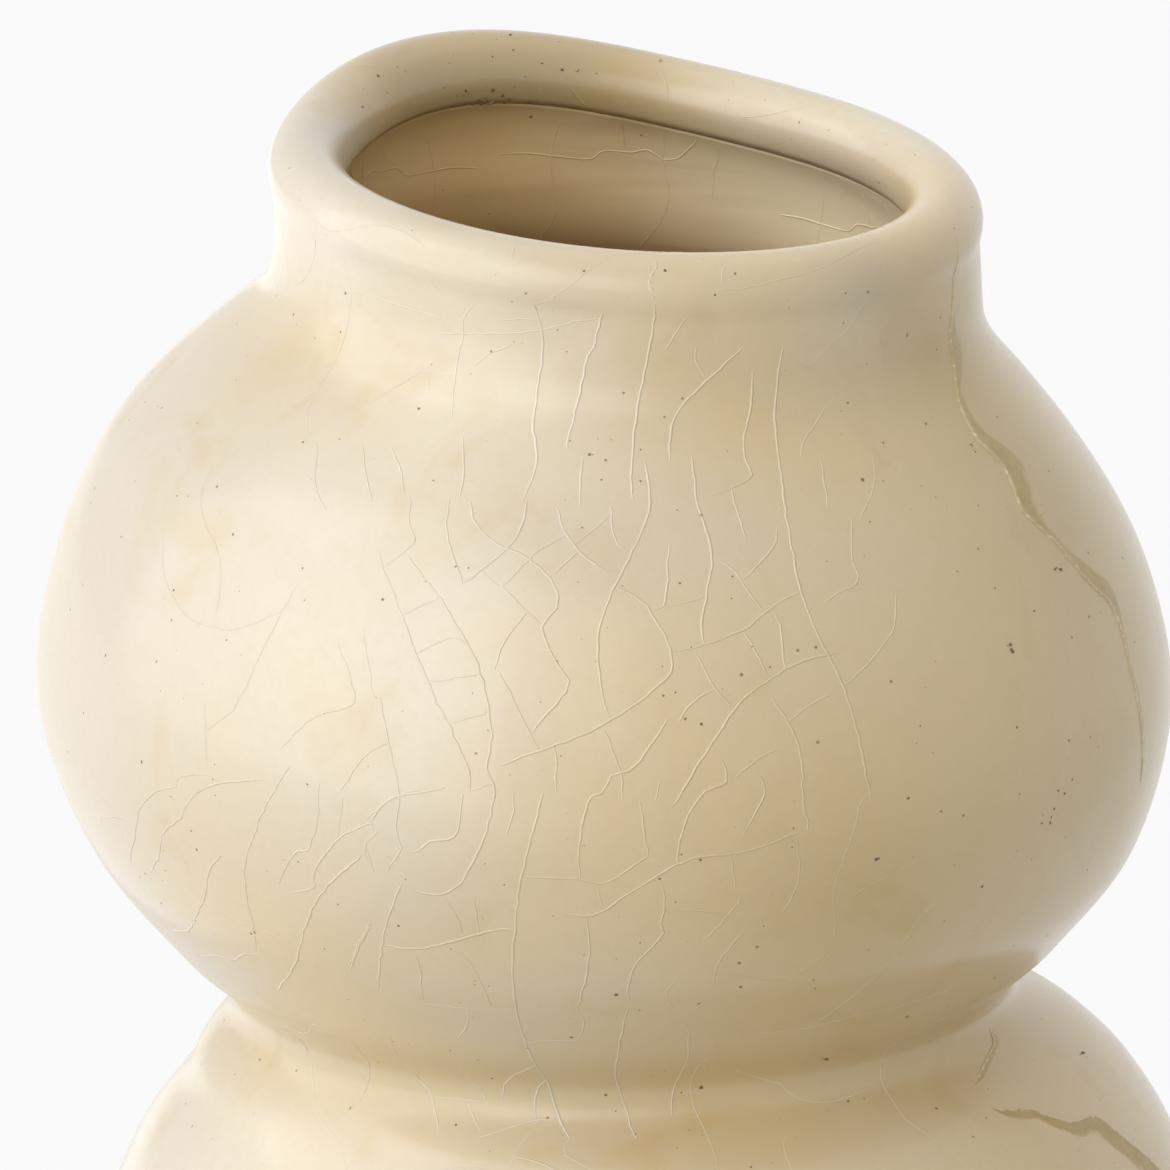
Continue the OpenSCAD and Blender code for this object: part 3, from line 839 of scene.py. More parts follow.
slabShape = {"faceGap": 4.0, "rimGap": 0.8}
slabEdge = movedIn([footEdge] + lowerLine[:1], pot["glaze"])
underside = [Vector((0, pot["footTop"])), Vector((pot["footRadius"] - pot["glaze"], pot["footTop"]))]
rim = [slabEdge[0], Vector((slabEdge[1].x, pot["floorTop"]))]
slabLoop = evenly(underside, slabShape["faceGap"]) + evenly(rim, slabShape["rimGap"]) \
    + [Vector((0, pot["floorTop"]))]
slab = turnPiece("floorSlabTurned", slabLoop, bareFinish)
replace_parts(slab, "floor_slab")
print("turned pieces made")


# glaze runs, on the right as seen from the front

def spotOf(way, reach):
    # a way round the pot in degrees from the back and a reach up the outline, as a place on the skin's map
    return (way / 360.0) % 1.0, (firstRing + reach / ringStep) / outerRings


def outlineAt(reach):
    at = max(0.0, min(reach / ringStep, len(outerFace) - 1.001))
    low, high = outerFace[int(at)], outerFace[int(at) + 1]
    return blend(low.x, high.x, at - int(at)), blend(low.y, high.y, at - int(at))


def radiusAt(reach):
    return outlineAt(reach)[0]


runLook = {
    # in mm: heights over the skin, the ragged edge, how deep the underside lies, and the gap between points
    "bead": 0.08, "beadWidth": 0.3, "shelf": 0.11, "ragged": 0.5, "sunk": 0.06, "belly": 0.6, "lip": 0.2,
    "settle": 0.01, "tipDepth": 0.1, "narrowest": 0.5, "pointGap": 0.35,
    # the bead swells and shrinks along the run; calm and taper count points
    "jagScale": 1.3, "swayScale": 0.35, "swayShare": 1.4, "steadyShare": 0.3, "calm": 7, "taper": 12,
    "columns": 30,
}
glazeRuns = {
    # first edge, second edge (each way round and reach up the outline) and share of the bead at each point
    "glazeRunUpper": [
        (248.8, 206, 249.2, 206, 0.1), (246.6, 201, 247.4, 201, 0.2), (245.9, 198.1, 246.9, 197.9, 0.3),
        (244.6, 194.4, 245.8, 194.3, 0.4), (243.2, 191.3, 248.6, 190.7, 0.6),
        (243.4, 187.6, 249, 187.4, 0.7), (242.1, 184.7, 245.6, 184.7, 0.7), (240.2, 182.4, 242.6, 183, 0.9),
        (238.9, 179.7, 242.1, 179.8, 1), (238.4, 176.7, 242.5, 176.5, 1.2),
        (239.4, 174.2, 245.1, 174.3, 1.2), (240.4, 171.6, 246.6, 171.2, 1.1), (239.7, 168.6, 245, 168, 1.3),
        (238.9, 166.1, 243.2, 165.7, 1.2), (239.8, 163.6, 243, 163.2, 0.9), (241.7, 160.8, 243.4, 161, 0.6),
        (243.2, 157.4, 245.2, 157.7, 0.8), (244.2, 154.9, 248.4, 155.4, 1),
        (245.6, 152.8, 250.6, 152.9, 1.1), (247.4, 150.5, 250.6, 150.5, 1.1),
        (248.1, 147, 249.7, 147.4, 0.9), (247.8, 142, 248.9, 142.3, 0.7), (248.2, 134, 249.6, 134.2, 0.5),
        (249.6, 124, 250.2, 124, 0.2)],
    "glazeRunHook": [
        (247.8, 86.5, 251.8, 85.5, 0.9), (247.6, 85.2, 251.2, 84.7, 1.2), (246.4, 84.3, 249, 83.8, 1.2),
        (245.3, 83.5, 247, 82.9, 0.9), (241.6, 82.6, 243, 82, 0.6), (238, 81.8, 239.6, 81.2, 0.4),
        (234.5, 80.8, 236.2, 80.2, 0.3), (230.8, 79.5, 232.6, 79.1, 0.2)],
    "glazeRunLower": [
        (229.6, 77.8, 229.4, 76.6, 0.3), (230.8, 77.5, 230.4, 75.9, 0.5), (233.2, 76.6, 232.4, 74.9, 0.6),
        (237.6, 75.2, 236.4, 73.3, 0.7), (239.4, 73.6, 238.6, 71.8, 1), (242, 72.1, 240.6, 69.8, 0.9),
        (247.4, 71, 244.6, 68.2, 0.7), (250.4, 66.8, 247.2, 64.6, 0.9), (254.6, 61, 250.8, 59.4, 0.8),
        (258.4, 54, 256, 53.4, 0.5), (261, 46, 260.2, 46, 0.2)],
}


def smoothPath(points, gap):
    # a rounded path through points of way, reach and more, with its points a gap of mm apart
    marks = [Vector(p) for p in points]
    marks = [marks[0] * 2 - marks[1]] + marks + [marks[-1] * 2 - marks[-2]]
    path = []
    for i in range(1, len(marks) - 2):
        b, c = marks[i], marks[i + 1]
        long = math.hypot((c[0] - b[0]) * math.pi / 180 * radiusAt(b[1]), c[1] - b[1])
        steps = max(1, round(long / gap))
        path += [curvePoint(*marks[i - 1:i + 3], s / steps) for s in range(steps)]
    return path + [marks[-2]]


runShape = runTree()


def runPiece(name, points, seed):
    path = smoothPath(points, runLook["pointGap"])
    spots, aside, swell = [], [], []
    for i, p in enumerate(path):
        # the second edge is smoother than the first
        near = path[max(0, i - runLook["calm"]):i + runLook["calm"] + 1]
        wide, tall = (sum(q[k + 2] - q[k] for q in near) / len(near) for k in (0, 1))
        first, second = spotOf(p[0], p[1]), spotOf(p[0] + wide, p[1] + tall)
        width = math.hypot(wide * math.pi / 180 * radiusAt(p[1]), tall)
        taper = min(1.0, i / runLook["taper"], (len(path) - 1 - i) / runLook["taper"])
        spots.append((first[0], first[1], 0))
        aside.append((second[0] - first[0], second[1] - first[1], 0))
        swell.append((width * mm, p[4], ease(taper)))
    mesh = lineMesh(name + "Path", spots, [(i, i + 1) for i in range(len(path) - 1)],
                    {"aside": aside, "swell": swell})
    piece = runShape.build(name, mesh, {
        "Skin": outerGlaze, "Columns": runLook["columns"], "Bead height": runLook["bead"] * mm,
        "Bead width": runLook["beadWidth"] * mm, "Shelf height": runLook["shelf"] * mm,
        "Ragged": runLook["ragged"] * mm, "Sunk": runLook["sunk"] * mm, "Belly": runLook["belly"] * mm,
        "Lip": runLook["lip"] * mm, "Settle": runLook["settle"] * mm, "Tip depth": runLook["tipDepth"] * mm,
        "Narrowest": runLook["narrowest"] * mm, "Jag scale": runLook["jagScale"],
        "Sway scale": runLook["swayScale"], "Sway share": runLook["swayShare"],
        "Steady share": runLook["steadyShare"], "Point gap": runLook["pointGap"], "Seed": seed,
        "Finish": runFinish})
    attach(piece, "root")
    return piece


runPieces = [runPiece(name, points, 10.0 * i) for i, (name, points) in enumerate(glazeRuns.items())]
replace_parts(runPieces[0], "glaze_runs")
print("glaze runs laid")


# crackle: lines that grow over the glaze and stop where they meet another

crackle = {
    "seed": 11, "step": 1.2, "gap": 1.0, "shake": 0.06, "thickest": 0.20, "thinnest": 0.07, "sides": 6,
    "flatness": 0.38, "sunkShare": 0.12, "cell": 9.0, "backCell": 12.0, "sideCell": 30.0,
    "lowest": 10.0, "highest": 216.0, "mirror": 546.0, "backFullness": 0.8,
    "trunks": 22, "trunkShake": 4, "trunkReach": (20, 190), "trunkLength": (30, 60),
    "trunkFullness": (0.4, 0.8), "trunkRoom": 8.0, "faceShare": 0.2,
    "length": (12, 34), "fullness": (0.15, 0.6), "headings": [(90, 22), (55, 20), (125, 20), (0, 20)],
    "bend": 2.2, "wander": 3.2, "wanderHold": 0.8, "kinkChance": 0.05, "kink": 38,
    "pullSway": 18, "pullWave": 0.3, "pullShare": 0.15, "meet": 0.95,
    "look": 9.0, "tries": 14, "room": 0.46, "misses": 60,
    # the front and the two sides: a way round and a spread, in degrees
    "front": (185, 60), "flanks": [(92, 35), (258, 42)], "flankFade": 0.8,
    # each line swells a little along its way and thins over its last points
    "swell": 0.15, "swellReach": 0.6, "swellWay": 0.3, "tipShare": 0.4, "tipPoints": 4,
}
# the cracks that show most: how full each is, then a way round and a reach up the outline for each point
tracedCracks = [
    (1, 164.9, 198.8, 165.8, 194.4, 165.6, 187.1, 166, 184.6, 166.7, 181.7, 168.6, 177.8, 168.4, 172),
    (1, 168.9, 172.1, 169.2, 170.4, 168.7, 166.7, 164.1, 160.9),
    (1, 184.7, 206.5, 184.5, 205, 183.3, 203.3, 184.2, 200.1, 181.6, 187.2, 181.8, 176.2, 182.3, 173.5),
    (1, 175.7, 198.5, 174.1, 193.1, 173.1, 191.8, 172, 182.3, 172.2, 179.8),
    (0.8, 174.7, 178.8, 175.7, 172.3),
    (1, 183.5, 178.6, 184.5, 172, 179.4, 156.7, 179.6, 149.7, 180.5, 145.8),
    (1, 161.8, 171.3, 163.8, 168.4, 165.6, 167, 171.5, 164.4, 174.3, 161.8, 174.8, 160.3, 174.7, 158.9,
     173.3, 156.6, 175.1, 152, 176.3, 150.3, 172.7, 143.9), (0.9, 168.6, 161, 172.1, 166.2, 174.8, 168.1),
    (0.6, 168.6, 161, 173.1, 156.7), (0.9, 171.4, 158, 169.3, 154.3, 168.5, 151),
    (0.7, 168.9, 151, 173.4, 142),
    (0.8, 173, 171.8, 174.5, 168.8, 176.7, 166.2, 179.5, 164.2, 181.4, 163.7),
    (0.9, 176.7, 166.2, 173.6, 162.7), (0.7, 176.1, 167.1, 179.7, 171.2),
    (0.8, 179.6, 172.5, 180.4, 168.8, 181.1, 167.4, 182.2, 166.7),
    (1, 181.2, 161.9, 184.1, 160.2, 185, 158.9, 186.9, 154.3, 186.8, 151.5, 184.7, 149.2, 179.2, 144.8,
     169.5, 139.7), (0.9, 187.3, 167.4, 186.4, 159.6, 185.5, 159.1), (0.6, 186.4, 159.6, 191, 160.7),
    (0.9, 157, 179.6, 159.2, 175.6, 160.4, 171.7), (0.8, 159.3, 171.1, 160.3, 167.5, 164.1, 160.9),
    (1, 190, 179.4, 190.7, 173.1, 192.2, 167.7, 192.3, 165.6, 190.4, 156.7, 190.5, 154.9),
    (1, 198.2, 194.2, 188.3, 186.3, 186.9, 183.2, 186.8, 179.1),
    (0.6, 190.4, 193.9, 190.2, 192.4, 192.3, 189.8),
    (0.9, 199.7, 190.8, 199.4, 186.3, 197.8, 181.5, 197.7, 179, 198.3, 176.7, 196.8, 175.7, 192.4, 174),
    (0.9, 195.2, 175, 196.6, 168.4),
    (1, 205.1, 193.8, 204.3, 191.5, 202.6, 177.6, 202.6, 159, 205.4, 147.4, 206.8, 134.7),
    (0.7, 212.1, 185.2, 206.7, 180.4, 206.2, 178.8), (0.7, 209, 178.3, 208.1, 171.7),
    (0.6, 217.4, 177.3, 216.6, 174.9, 212.2, 169.5),
    (0.8, 200.7, 169.1, 200.4, 167.7, 199.5, 166.4, 195.8, 162.9),
    (0.8, 193.4, 165.3, 194.6, 164.4, 197.6, 158.6),
    (0.9, 202.7, 161.2, 199.4, 159.7, 194.7, 156.5, 189, 154.4, 187, 154.1),
    (0.8, 195, 156.5, 197.2, 150.4), (0.8, 198.8, 158.5, 199.1, 157, 198.9, 151.6),
    (1, 204.9, 153.1, 200.9, 152.3, 198.9, 151.4, 194.3, 148.2, 191.3, 144, 186.6, 135.5),
    (0.8, 189.5, 154, 191.9, 148.5, 193.2, 146.9), (0.8, 191.4, 149.6, 188.9, 147.9, 187.3, 145.5),
    (0.4, 192.5, 148.7, 193.4, 149.3, 194.4, 148.9),
    (0.9, 197.2, 148.2, 199.2, 143.2, 199.8, 139.2, 199.6, 136.5, 200, 132),
    (0.7, 198.7, 145.1, 202.4, 147.6, 203.7, 147.9),
    (0.6, 205, 148.9, 206.8, 149.9, 211.3, 153.9, 212.6, 155.5, 214, 159.3),
    (0.6, 211.1, 169.7, 209.7, 164.7, 209.6, 161.4, 206.7, 160.4, 204.8, 159.2),
    (1, 186.3, 145.9, 183.1, 140.5, 182.3, 139.7, 180.7, 139.2, 179.7, 137.1, 178.7, 136.6, 177.5, 130.5,
     177.5, 126.3), (0.8, 180, 144.4, 181.5, 139.4, 181.7, 136.4),
    (0.9, 174.8, 142.6, 175.2, 140.9, 175.2, 137),
    (1, 174, 136.8, 171.5, 124.6, 168.5, 104, 169.1, 88.9, 171.6, 81.2),
    (0.7, 171.1, 136.6, 171.1, 134.4, 170.4, 131.5),
    (1, 161.7, 158.9, 165.7, 153.2, 167.2, 150.2, 168.7, 142.4, 168.3, 139.2, 169.1, 137.4, 168.9, 133.8,
     167.5, 128.9, 165.5, 124.4), (0.9, 157.7, 156.1, 166.6, 138.6, 166.8, 136.6),
    (0.6, 166.8, 136.5, 168.9, 137.5), (0.8, 166.1, 136, 165.3, 130.8, 163, 129.9, 161, 128.2),
    (0.9, 160.8, 123.1, 163.4, 123.2, 165, 124.3, 166.4, 126.1),
    (0.8, 163.8, 122.8, 164.6, 120.5, 165, 117.8), (0.8, 166.9, 123.3, 166.7, 118.2),
    (1, 155.9, 114.9, 159.6, 115, 169, 119, 170.7, 119),
    (0.7, 172.2, 126.3, 177.5, 126.3, 179, 125.8, 180.4, 126.3, 184.1, 129.3),
    (0.8, 183.4, 136.1, 184.1, 129.3), (0.5, 185.4, 138.5, 184.7, 136),
    (0.8, 175.9, 121.6, 178.4, 121.6, 179.6, 122.3, 188.2, 129, 193.3, 129.6, 199.2, 131.7),
    (0.5, 179.2, 125, 179.6, 122.3), (0.9, 177.9, 121.3, 177.8, 115.9, 175.6, 106.2),
    (0.8, 185.4, 126.2, 185.8, 124.1, 185.3, 120.5, 185.5, 119.1, 182.6, 114.6, 181.5, 110.6, 181.4, 108.1),
    (0.8, 159.2, 114, 159.1, 111.8, 157.8, 106.2), (0.6, 164.4, 115.2, 165.5, 111.9, 165.9, 106.3),
    (0.5, 192.2, 129.4, 192.8, 125.2), (0.5, 198.9, 131.1, 199.3, 126.3, 199, 124.3, 197.6, 121.2),
    (0.4, 186, 122.1, 188.2, 122.3, 191.8, 121.7), (0.4, 193.3, 123.8, 192.7, 122.3, 189.5, 117.6),
    (0.5, 193.8, 119.1, 191.2, 114.6, 190.5, 111),
    (0.9, 191.5, 141.1, 191.9, 138.3, 189.8, 137.2, 188.5, 135.3, 187.4, 132.3, 187, 128.6),
    (0.6, 197.3, 141.8, 195.2, 140.8, 192.8, 138.7), (0.7, 195.1, 139.1, 195.8, 137.3, 193.4, 131.8),
    (0.8, 147.4, 136.2, 143.7, 128.8, 140.4, 120.9, 139.1, 114.4, 137.5, 109.8),
    (0.9, 144.4, 134, 139.6, 132.5, 135.7, 130.4, 133.3, 127, 129, 123, 127.2, 120, 123.6, 116.6),
    (0.9, 137.8, 123.1, 135.2, 120.1, 133.1, 116.5, 130, 113.2, 125.4, 109.2, 119.5, 107),
    (0.4, 131.9, 115.2, 133.6, 114.5, 145.4, 112.6), (0.6, 151, 134.8, 150.6, 129.6, 149.3, 126.2),
    (0.9, 149.5, 126.5, 148.1, 125.9, 144.9, 121.1), (0.6, 158.1, 141.1, 155.8, 139.2, 153.3, 134.3),
    (0.5, 153.5, 133.8, 153, 129.1),
    (0.8, 156.9, 131.3, 154.3, 129.8, 151.9, 127.1, 149.9, 124, 149.4, 122.5, 149.6, 121.9, 146.4, 120.2),
    (1, 155.5, 127, 149.8, 120.6, 142.4, 108.8, 135.9, 102.4),
    (0.5, 157.4, 130.3, 155.8, 128.1, 156.6, 125.3), (0.9, 159.5, 124, 156.7, 117.7, 152.8, 107.1),
    (0.7, 154.8, 117.7, 150.4, 110.6),
    (0.7, 156.7, 146.2, 159.7, 134.2, 159.3, 130.6, 159.8, 128.7, 158, 125.3),
    (0.5, 161.5, 136, 158.4, 134.2, 156.2, 131.6), (0.5, 153.2, 163.2, 157.8, 155.9),
    (0.4, 153.6, 153.7, 156, 146.1), (0.5, 151.3, 151.2, 153.4, 147.1, 154, 145, 149.4, 142.3, 146.2, 138),
    (0.6, 137.9, 173.5, 140.6, 169.7, 144.2, 166.9), (0.7, 143.2, 176.2, 149.6, 169.1),
    (0.8, 147.9, 176.5, 151.5, 173.2, 153.1, 170.9),
    (0.6, 154.2, 170.6, 155.8, 166.9, 157, 165.5, 154.7, 161.5), (0.5, 157, 163.2, 161.7, 158.9),
    (0.4, 161.7, 158.9, 157.7, 156.1), (0.4, 144.3, 157, 140.6, 143.1, 139.8, 141.3, 136.6, 137.9),
    (0.5, 154.8, 197.5, 152.3, 193.7, 152.4, 191.7, 151.8, 190, 151.9, 186.4, 153.9, 181.9),
    (0.4, 147.5, 191.3, 162.1, 193.7, 168.2, 195.5, 171.1, 196.8, 175.4, 197.8),
    (0.4, 159.4, 195.3, 165.1, 196.4), (0.6, 154.8, 188.7, 155.9, 189.7, 160.2, 191.6),
    (0.5, 189.2, 198.9, 185.6, 193.6), (0.4, 165.7, 162.9, 168.1, 161.1),
    (0.35, 159.8, 151.6, 162.6, 153.7, 164.2, 154.3, 165.6, 153.4), (0.35, 161.3, 148.5, 167.2, 150.3),
    (0.35, 164, 143.9, 168.1, 145.7), (0.7, 169.1, 88.9, 167.8, 87.5, 167.3, 85.9, 167.3, 83.5),
    (0.6, 162.3, 85.6, 162.8, 87.6, 164.1, 89.2, 169, 93.4),
    (0.8, 181.2, 106.7, 179.6, 97.6, 179, 89.1, 180.2, 84.8, 180.6, 81.2),
    (0.5, 163, 105.1, 162.4, 102.8, 159.8, 98.4), (0.4, 157.5, 105.6, 165.4, 105.2),
    (0.5, 150, 97.5, 148.1, 91.7, 148.2, 89, 149.4, 86.9, 151.2, 85.3, 153, 80.8),
    (0.4, 157.1, 91.2, 157.6, 88.4, 159.8, 85.6, 152.5, 85.2), (0.5, 157.1, 84.7, 159.1, 81.5),
    (0.5, 158.9, 80.4, 165.5, 83, 170.6, 84), (0.6, 17.8, 213.8, 16.9, 215.2, 17.2, 217.2),
    (0.7, 11.8, 213.4, 10.8, 215.5, 8, 217.3), (0.7, 5.7, 213.1, 4.6, 214.9, 4, 217.4),
    (0.6, 1.2, 214.3, 0.4, 215.6, 0.1, 217.4), (0.5, 33.2, 210.8, 36, 212.3, 36.1, 214.7),
    (0.5, 353.4, 210.9, 351.5, 213.5, 352.4, 216.8), (0.5, 146, 201.6, 147, 199.4, 149.2, 197),
    (0.6, 183.3, 205.9, 183.8, 202.3, 184.4, 198.5), (0.5, 160.8, 207.6, 160.8, 204.6, 162, 202.3),
    (0.5, 196.7, 206.1, 195.2, 203.6, 195.8, 200.2),
    (0.9, 132.6, 130.3, 130.1, 129.1, 127.9, 127.5, 125.8, 125.2, 124, 122.1, 120.8, 118.4, 119.3, 116.6),
    (0.7, 137.3, 133, 134.2, 132, 132.8, 131.2, 132.6, 130.3),
    (0.6, 115.6, 121.1, 120, 122.6, 122.9, 123.2),
    (0.9, 164.2, 136.6, 161.8, 135.7, 159.2, 134.7, 157.6, 133.2, 156.6, 131.5, 156.8, 130.2),
    (0.9, 155.1, 118, 153.9, 116, 152.4, 113.6, 150.3, 110),
    (0.8, 121.9, 103.7, 128.6, 106, 131.6, 106.4, 134.3, 108.3, 137.3, 109.2),
    (0.7, 156, 128.4, 156.3, 126.7, 156.5, 125),
    (0.4, 135.9, 140.9, 136.4, 138.6, 136.9, 135.8, 137.2, 133.5),
]


def pointsOf(row):
    return list(zip(row[::2], row[1::2]))


class CrackleGrowth:
    def __init__(self):
        self.dice = random.Random(crackle["seed"])
        self.box = 3  # millimetres, of the boxes that the points are sorted into
        self.boxes = {}
        self.lines = []

    def solid(self, way, reach):
        (radius, height), turn = outlineAt(reach), math.radians(way)
        return radius * math.cos(turn), radius * math.sin(turn), height

    def boxOf(self, place):
        return tuple(int(part // self.box) for part in place)

    def nearest(self, way, reach, limit, skip=None):
        place = self.solid(way, reach)
        best, found, wide = limit, None, int(limit // self.box) + 1
        near = [range(part - wide, part + wide + 1) for part in self.boxOf(place)]
        for spot in itertools.product(*near):
            for point, line, there in self.boxes.get(spot, ()):
                gap = math.dist(place, point)
                if line != skip and gap < best:
                    best, found = gap, there
        return best, found

    def keep(self, line, fullness):
        for there in line:
            place = self.solid(*there)
            self.boxes.setdefault(self.boxOf(place), []).append((place, len(self.lines), there))
        self.lines.append((fullness, line))

    def trace(self, points, fullness, turned=False):
        # a drawn crack, or its mirror image on the back
        if turned:
            points = [(crackle["mirror"] - way, reach) for way, reach in points]
        shake = crackle["shake"]
        self.keep([(p[0] + self.dice.gauss(0, shake), p[1] + self.dice.gauss(0, shake))
                   for p in smoothPath(points, crackle["gap"])], fullness)

    def grow(self, way, reach, heading, bend, longest, pull=None):
        # one arm: its heading is in degrees from straight up, and now and then it kinks
        number, step, arm, wander = len(self.lines), crackle["step"], [], 0.0
        for i in range(int(longest / step)):
            wander = wander * crackle["wanderHold"] + self.dice.gauss(0, crackle["wander"])
            heading += bend + wander
            if self.dice.random() < crackle["kinkChance"]:
                heading += self.dice.gauss(0, crackle["kink"])
            if pull is not None:
                sway = crackle["pullSway"] * math.sin(reach * crackle["pullWave"] + way)
                heading += (pull + sway - heading) * crackle["pullShare"]
            turn = math.radians(heading)
            reach += math.cos(turn) * step
            way += math.degrees(math.sin(turn) * step / radiusAt(reach))
            if not crackle["lowest"] < reach < crackle["highest"]:
                break
            met = self.nearest(way, reach, step * crackle["meet"], number)[1]
            arm.append((way, reach))
            if met and i > 1:
                near = min((met[0] + 360 * k for k in (-1, 0, 1)), key=lambda w: abs(w - way))
                arm[-1] = (near, met[1])
                break
        return arm

    def line(self, way, reach, heading, bend, longest, fullness, pull=None):
        ahead = self.grow(way, reach, heading, bend, longest, pull)
        behind = self.grow(way, reach, heading + 180, bend, longest, None if pull is None else pull + 180)
        whole = behind[::-1] + [(way, reach)] + ahead
        if len(whole) > 3:
            self.keep(whole, fullness * (1 - crackle["flankFade"] * self.sideShare(way)))

    def sideShare(self, way):
        return min(1.0, sum(hump(way % 360 - middle, spread) for middle, spread in crackle["flanks"]))

    def cellAt(self, way):
        # the front is crackled closest, the sides hardly at all
        middle, spread = crackle["front"]
        wide = blend(crackle["backCell"], crackle["cell"], hump(way % 360 - middle, spread))
        return blend(wide, crackle["sideCell"], self.sideShare(way))

    def spread(self):
        # long upright cracks first, then short ones where there is most room, until none is left
        dice, trunks = self.dice, crackle["trunks"]
        for i in range(trunks):
            way = i * 360 / trunks + dice.uniform(-crackle["trunkShake"], crackle["trunkShake"])
            reach = dice.uniform(*crackle["trunkReach"])
            onFace = math.cos(math.radians(way)) > crackle["faceShare"]
            if onFace and self.nearest(way, reach, crackle["trunkRoom"])[1] is None:
                self.line(way, reach, 180, 0, dice.uniform(*crackle["trunkLength"]),
                          dice.uniform(*crackle["trunkFullness"]), 180)
        misses = 0
        while misses < crackle["misses"]:
            tries = []
            for i in range(crackle["tries"]):
                way, reach = dice.uniform(0, 360), dice.uniform(crackle["lowest"] + 2, crackle["highest"] - 2)
                if dice.random() * pot["upperRadius"] < radiusAt(reach):
                    gap = self.nearest(way, reach, crackle["look"])[0]
                    tries.append((gap / self.cellAt(way), way, reach))
            if not tries:
                continue
            room, way, reach = max(tries)
            if room < crackle["room"]:
                misses += 1
                continue
            heading = dice.choice([dice.gauss(*heading) for heading in crackle["headings"]])
            self.line(way, reach, heading, dice.gauss(0, crackle["bend"]), dice.uniform(*crackle["length"]),
                      dice.uniform(*crackle["fullness"]))


growth = CrackleGrowth()
for fullness, *row in tracedCracks:
    growth.trace(pointsOf(row), fullness)
for fullness, *row in tracedCracks:
    growth.trace(pointsOf(row), fullness * crackle["backFullness"], turned=True)
growth.spread()


def layThreads(name, skin, finish, lines, spotFor):
    spots, edges, thick = [], [], []
    for fullness, line in lines:
        for i, (way, reach) in enumerate(line):
            if i:
                edges.append((len(spots) - 1, len(spots)))
            u, v = spotFor(way, reach)
            spots.append((u, v, 0))
            wave = math.sin(reach * crackle["swellReach"] + way * crackle["swellWay"])
            swell = 1 - crackle["swell"] + crackle["swell"] * wave
            fromEnd = min(i, len(line) - 1 - i)
            tip = ease(min(1.0, crackle["tipShare"] + fromEnd / crackle["tipPoints"]))
            thick.append(blend(crackle["thinnest"], crackle["thickest"], fullness * swell * tip) * mm)
    threads = threadShape.build(name, lineMesh(name + "Paths", spots, edges, {"thick": thick}), {
        "Skin": skin, "Sides": crackle["sides"], "Flatness": crackle["flatness"],
        "Sunk share": crackle["sunkShare"], "Finish": finish})
    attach(threads, "root")
    return threads


threadShape = threadTree()
threads = layThreads("crackleThreads", outerGlaze, threadFinish, growth.lines, spotOf)
print("crackle grown:", len(growth.lines), "lines")

# the cracks under the lip: fullness, then a way round and a depth under the ledge for each point
linerCracks = [
    (0.9, 1.1, 0.2, 0.8, 1.7, 0.4, 3.5), (0.8, 346, 0.3, 346.9, 1.2, 348.5, 2.2, 350.6, 3.4, 353.5, 3.9),
    (0.7, 352.8, 0.2, 352.9, 1.8, 353.5, 3.9), (0.6, 342.2, 0.2, 342.1, 2, 343.5, 3.8, 344, 7),
    (0.6, 23.7, 6, 18.6, 5.7, 13, 5.7, 6.6, 5.3, 5.1, 4.4, -0.8, 3.8, -3.7, 3.2, -6.5, 3.9),
    (0.5, 12.7, 1.8, 13.7, 3.9, 14.3, 6.8, 13, 12, 16, 18), (0.5, -6.5, 3.9, -7.5, 9, -3, 16),
]
ledgeRing = len(clayFace) + 2


def linerSpot(way, depth):
    return (way / 360.0) % 1.0, (ledgeRing + depth / linerShape["ringGap"]) / (len(linerLoop) - 1)


# the same cracks again all round: how far round, how far down, and whether flipped
linerTurns = [(0, 0, 1), (52, 1.5, -1), (104, 0.4, 1), (158, 3, -1), (212, 0.8, 1), (262, 2, -1), (306, 1, 1)]
linerLines = []
for turn, drop, flip in linerTurns:
    for fullness, *row in linerCracks:
        path = smoothPath(pointsOf(row), crackle["gap"])
        linerLines.append((fullness, [(turn + flip * p[0], drop + p[1]) for p in path]))
linerThreads = layThreads("linerThreads", liner, linerFinish, linerLines, linerSpot)


# grit: most of it under the back of the lip, a little here and there

grit = {
    "seed": 3, "smallest": 0.09, "largest": 0.26, "flattest": 0.5, "mostTurn": 6.28, "highest": 230.0,
    # a way round in degrees, a reach up the outline in mm, how wide and how tall, and how many crumbs
    "patches": [
        (28, 218.5, 5, 2.2, 46), (5, 224, 4, 1.6, 26), (348, 224, 6, 1.5, 12), (227.2, 150, 0.8, 0.9, 7),
        (207.4, 127.3, 0.3, 0.3, 2), (209.1, 89.7, 0.4, 0.3, 3), (236.7, 175.6, 0.5, 0.8, 4),
        (240, 157.5, 1, 1.2, 5), (259.6, 75.7, 0.8, 0.6, 4), (231, 128, 2.5, 3, 6),
        (182.4, 180.4, 0.2, 0.2, 1), (21.8, 223.6, 2.4, 0.7, 20), (4, 222.6, 1.6, 0.7, 12)],
    # single crumbs
    "spots": [
        (20.7, 208.6), (21.5, 211.2), (47.9, 210.8), (53.9, 210.6), (38.2, 215), (20.1, 214.4),
        (18.9, 217.6), (16.4, 212.7), (12.6, 213.2), (9.6, 213), (5.9, 213), (64.4, 212.4), (353.7, 209.3)],
}
dice = random.Random(grit["seed"])
crumbSpots = []
for way, reach, wide, tall, count in grit["patches"]:
    for i in range(count):
        aside = dice.gauss(0, wide / 2)
        above = dice.gauss(0, tall / 2)
        crumbSpots.append(spotOf(way + aside, min(reach + above, grit["highest"])) + (0,))
crumbSpots += [spotOf(way, reach) + (0,) for way, reach in grit["spots"]]
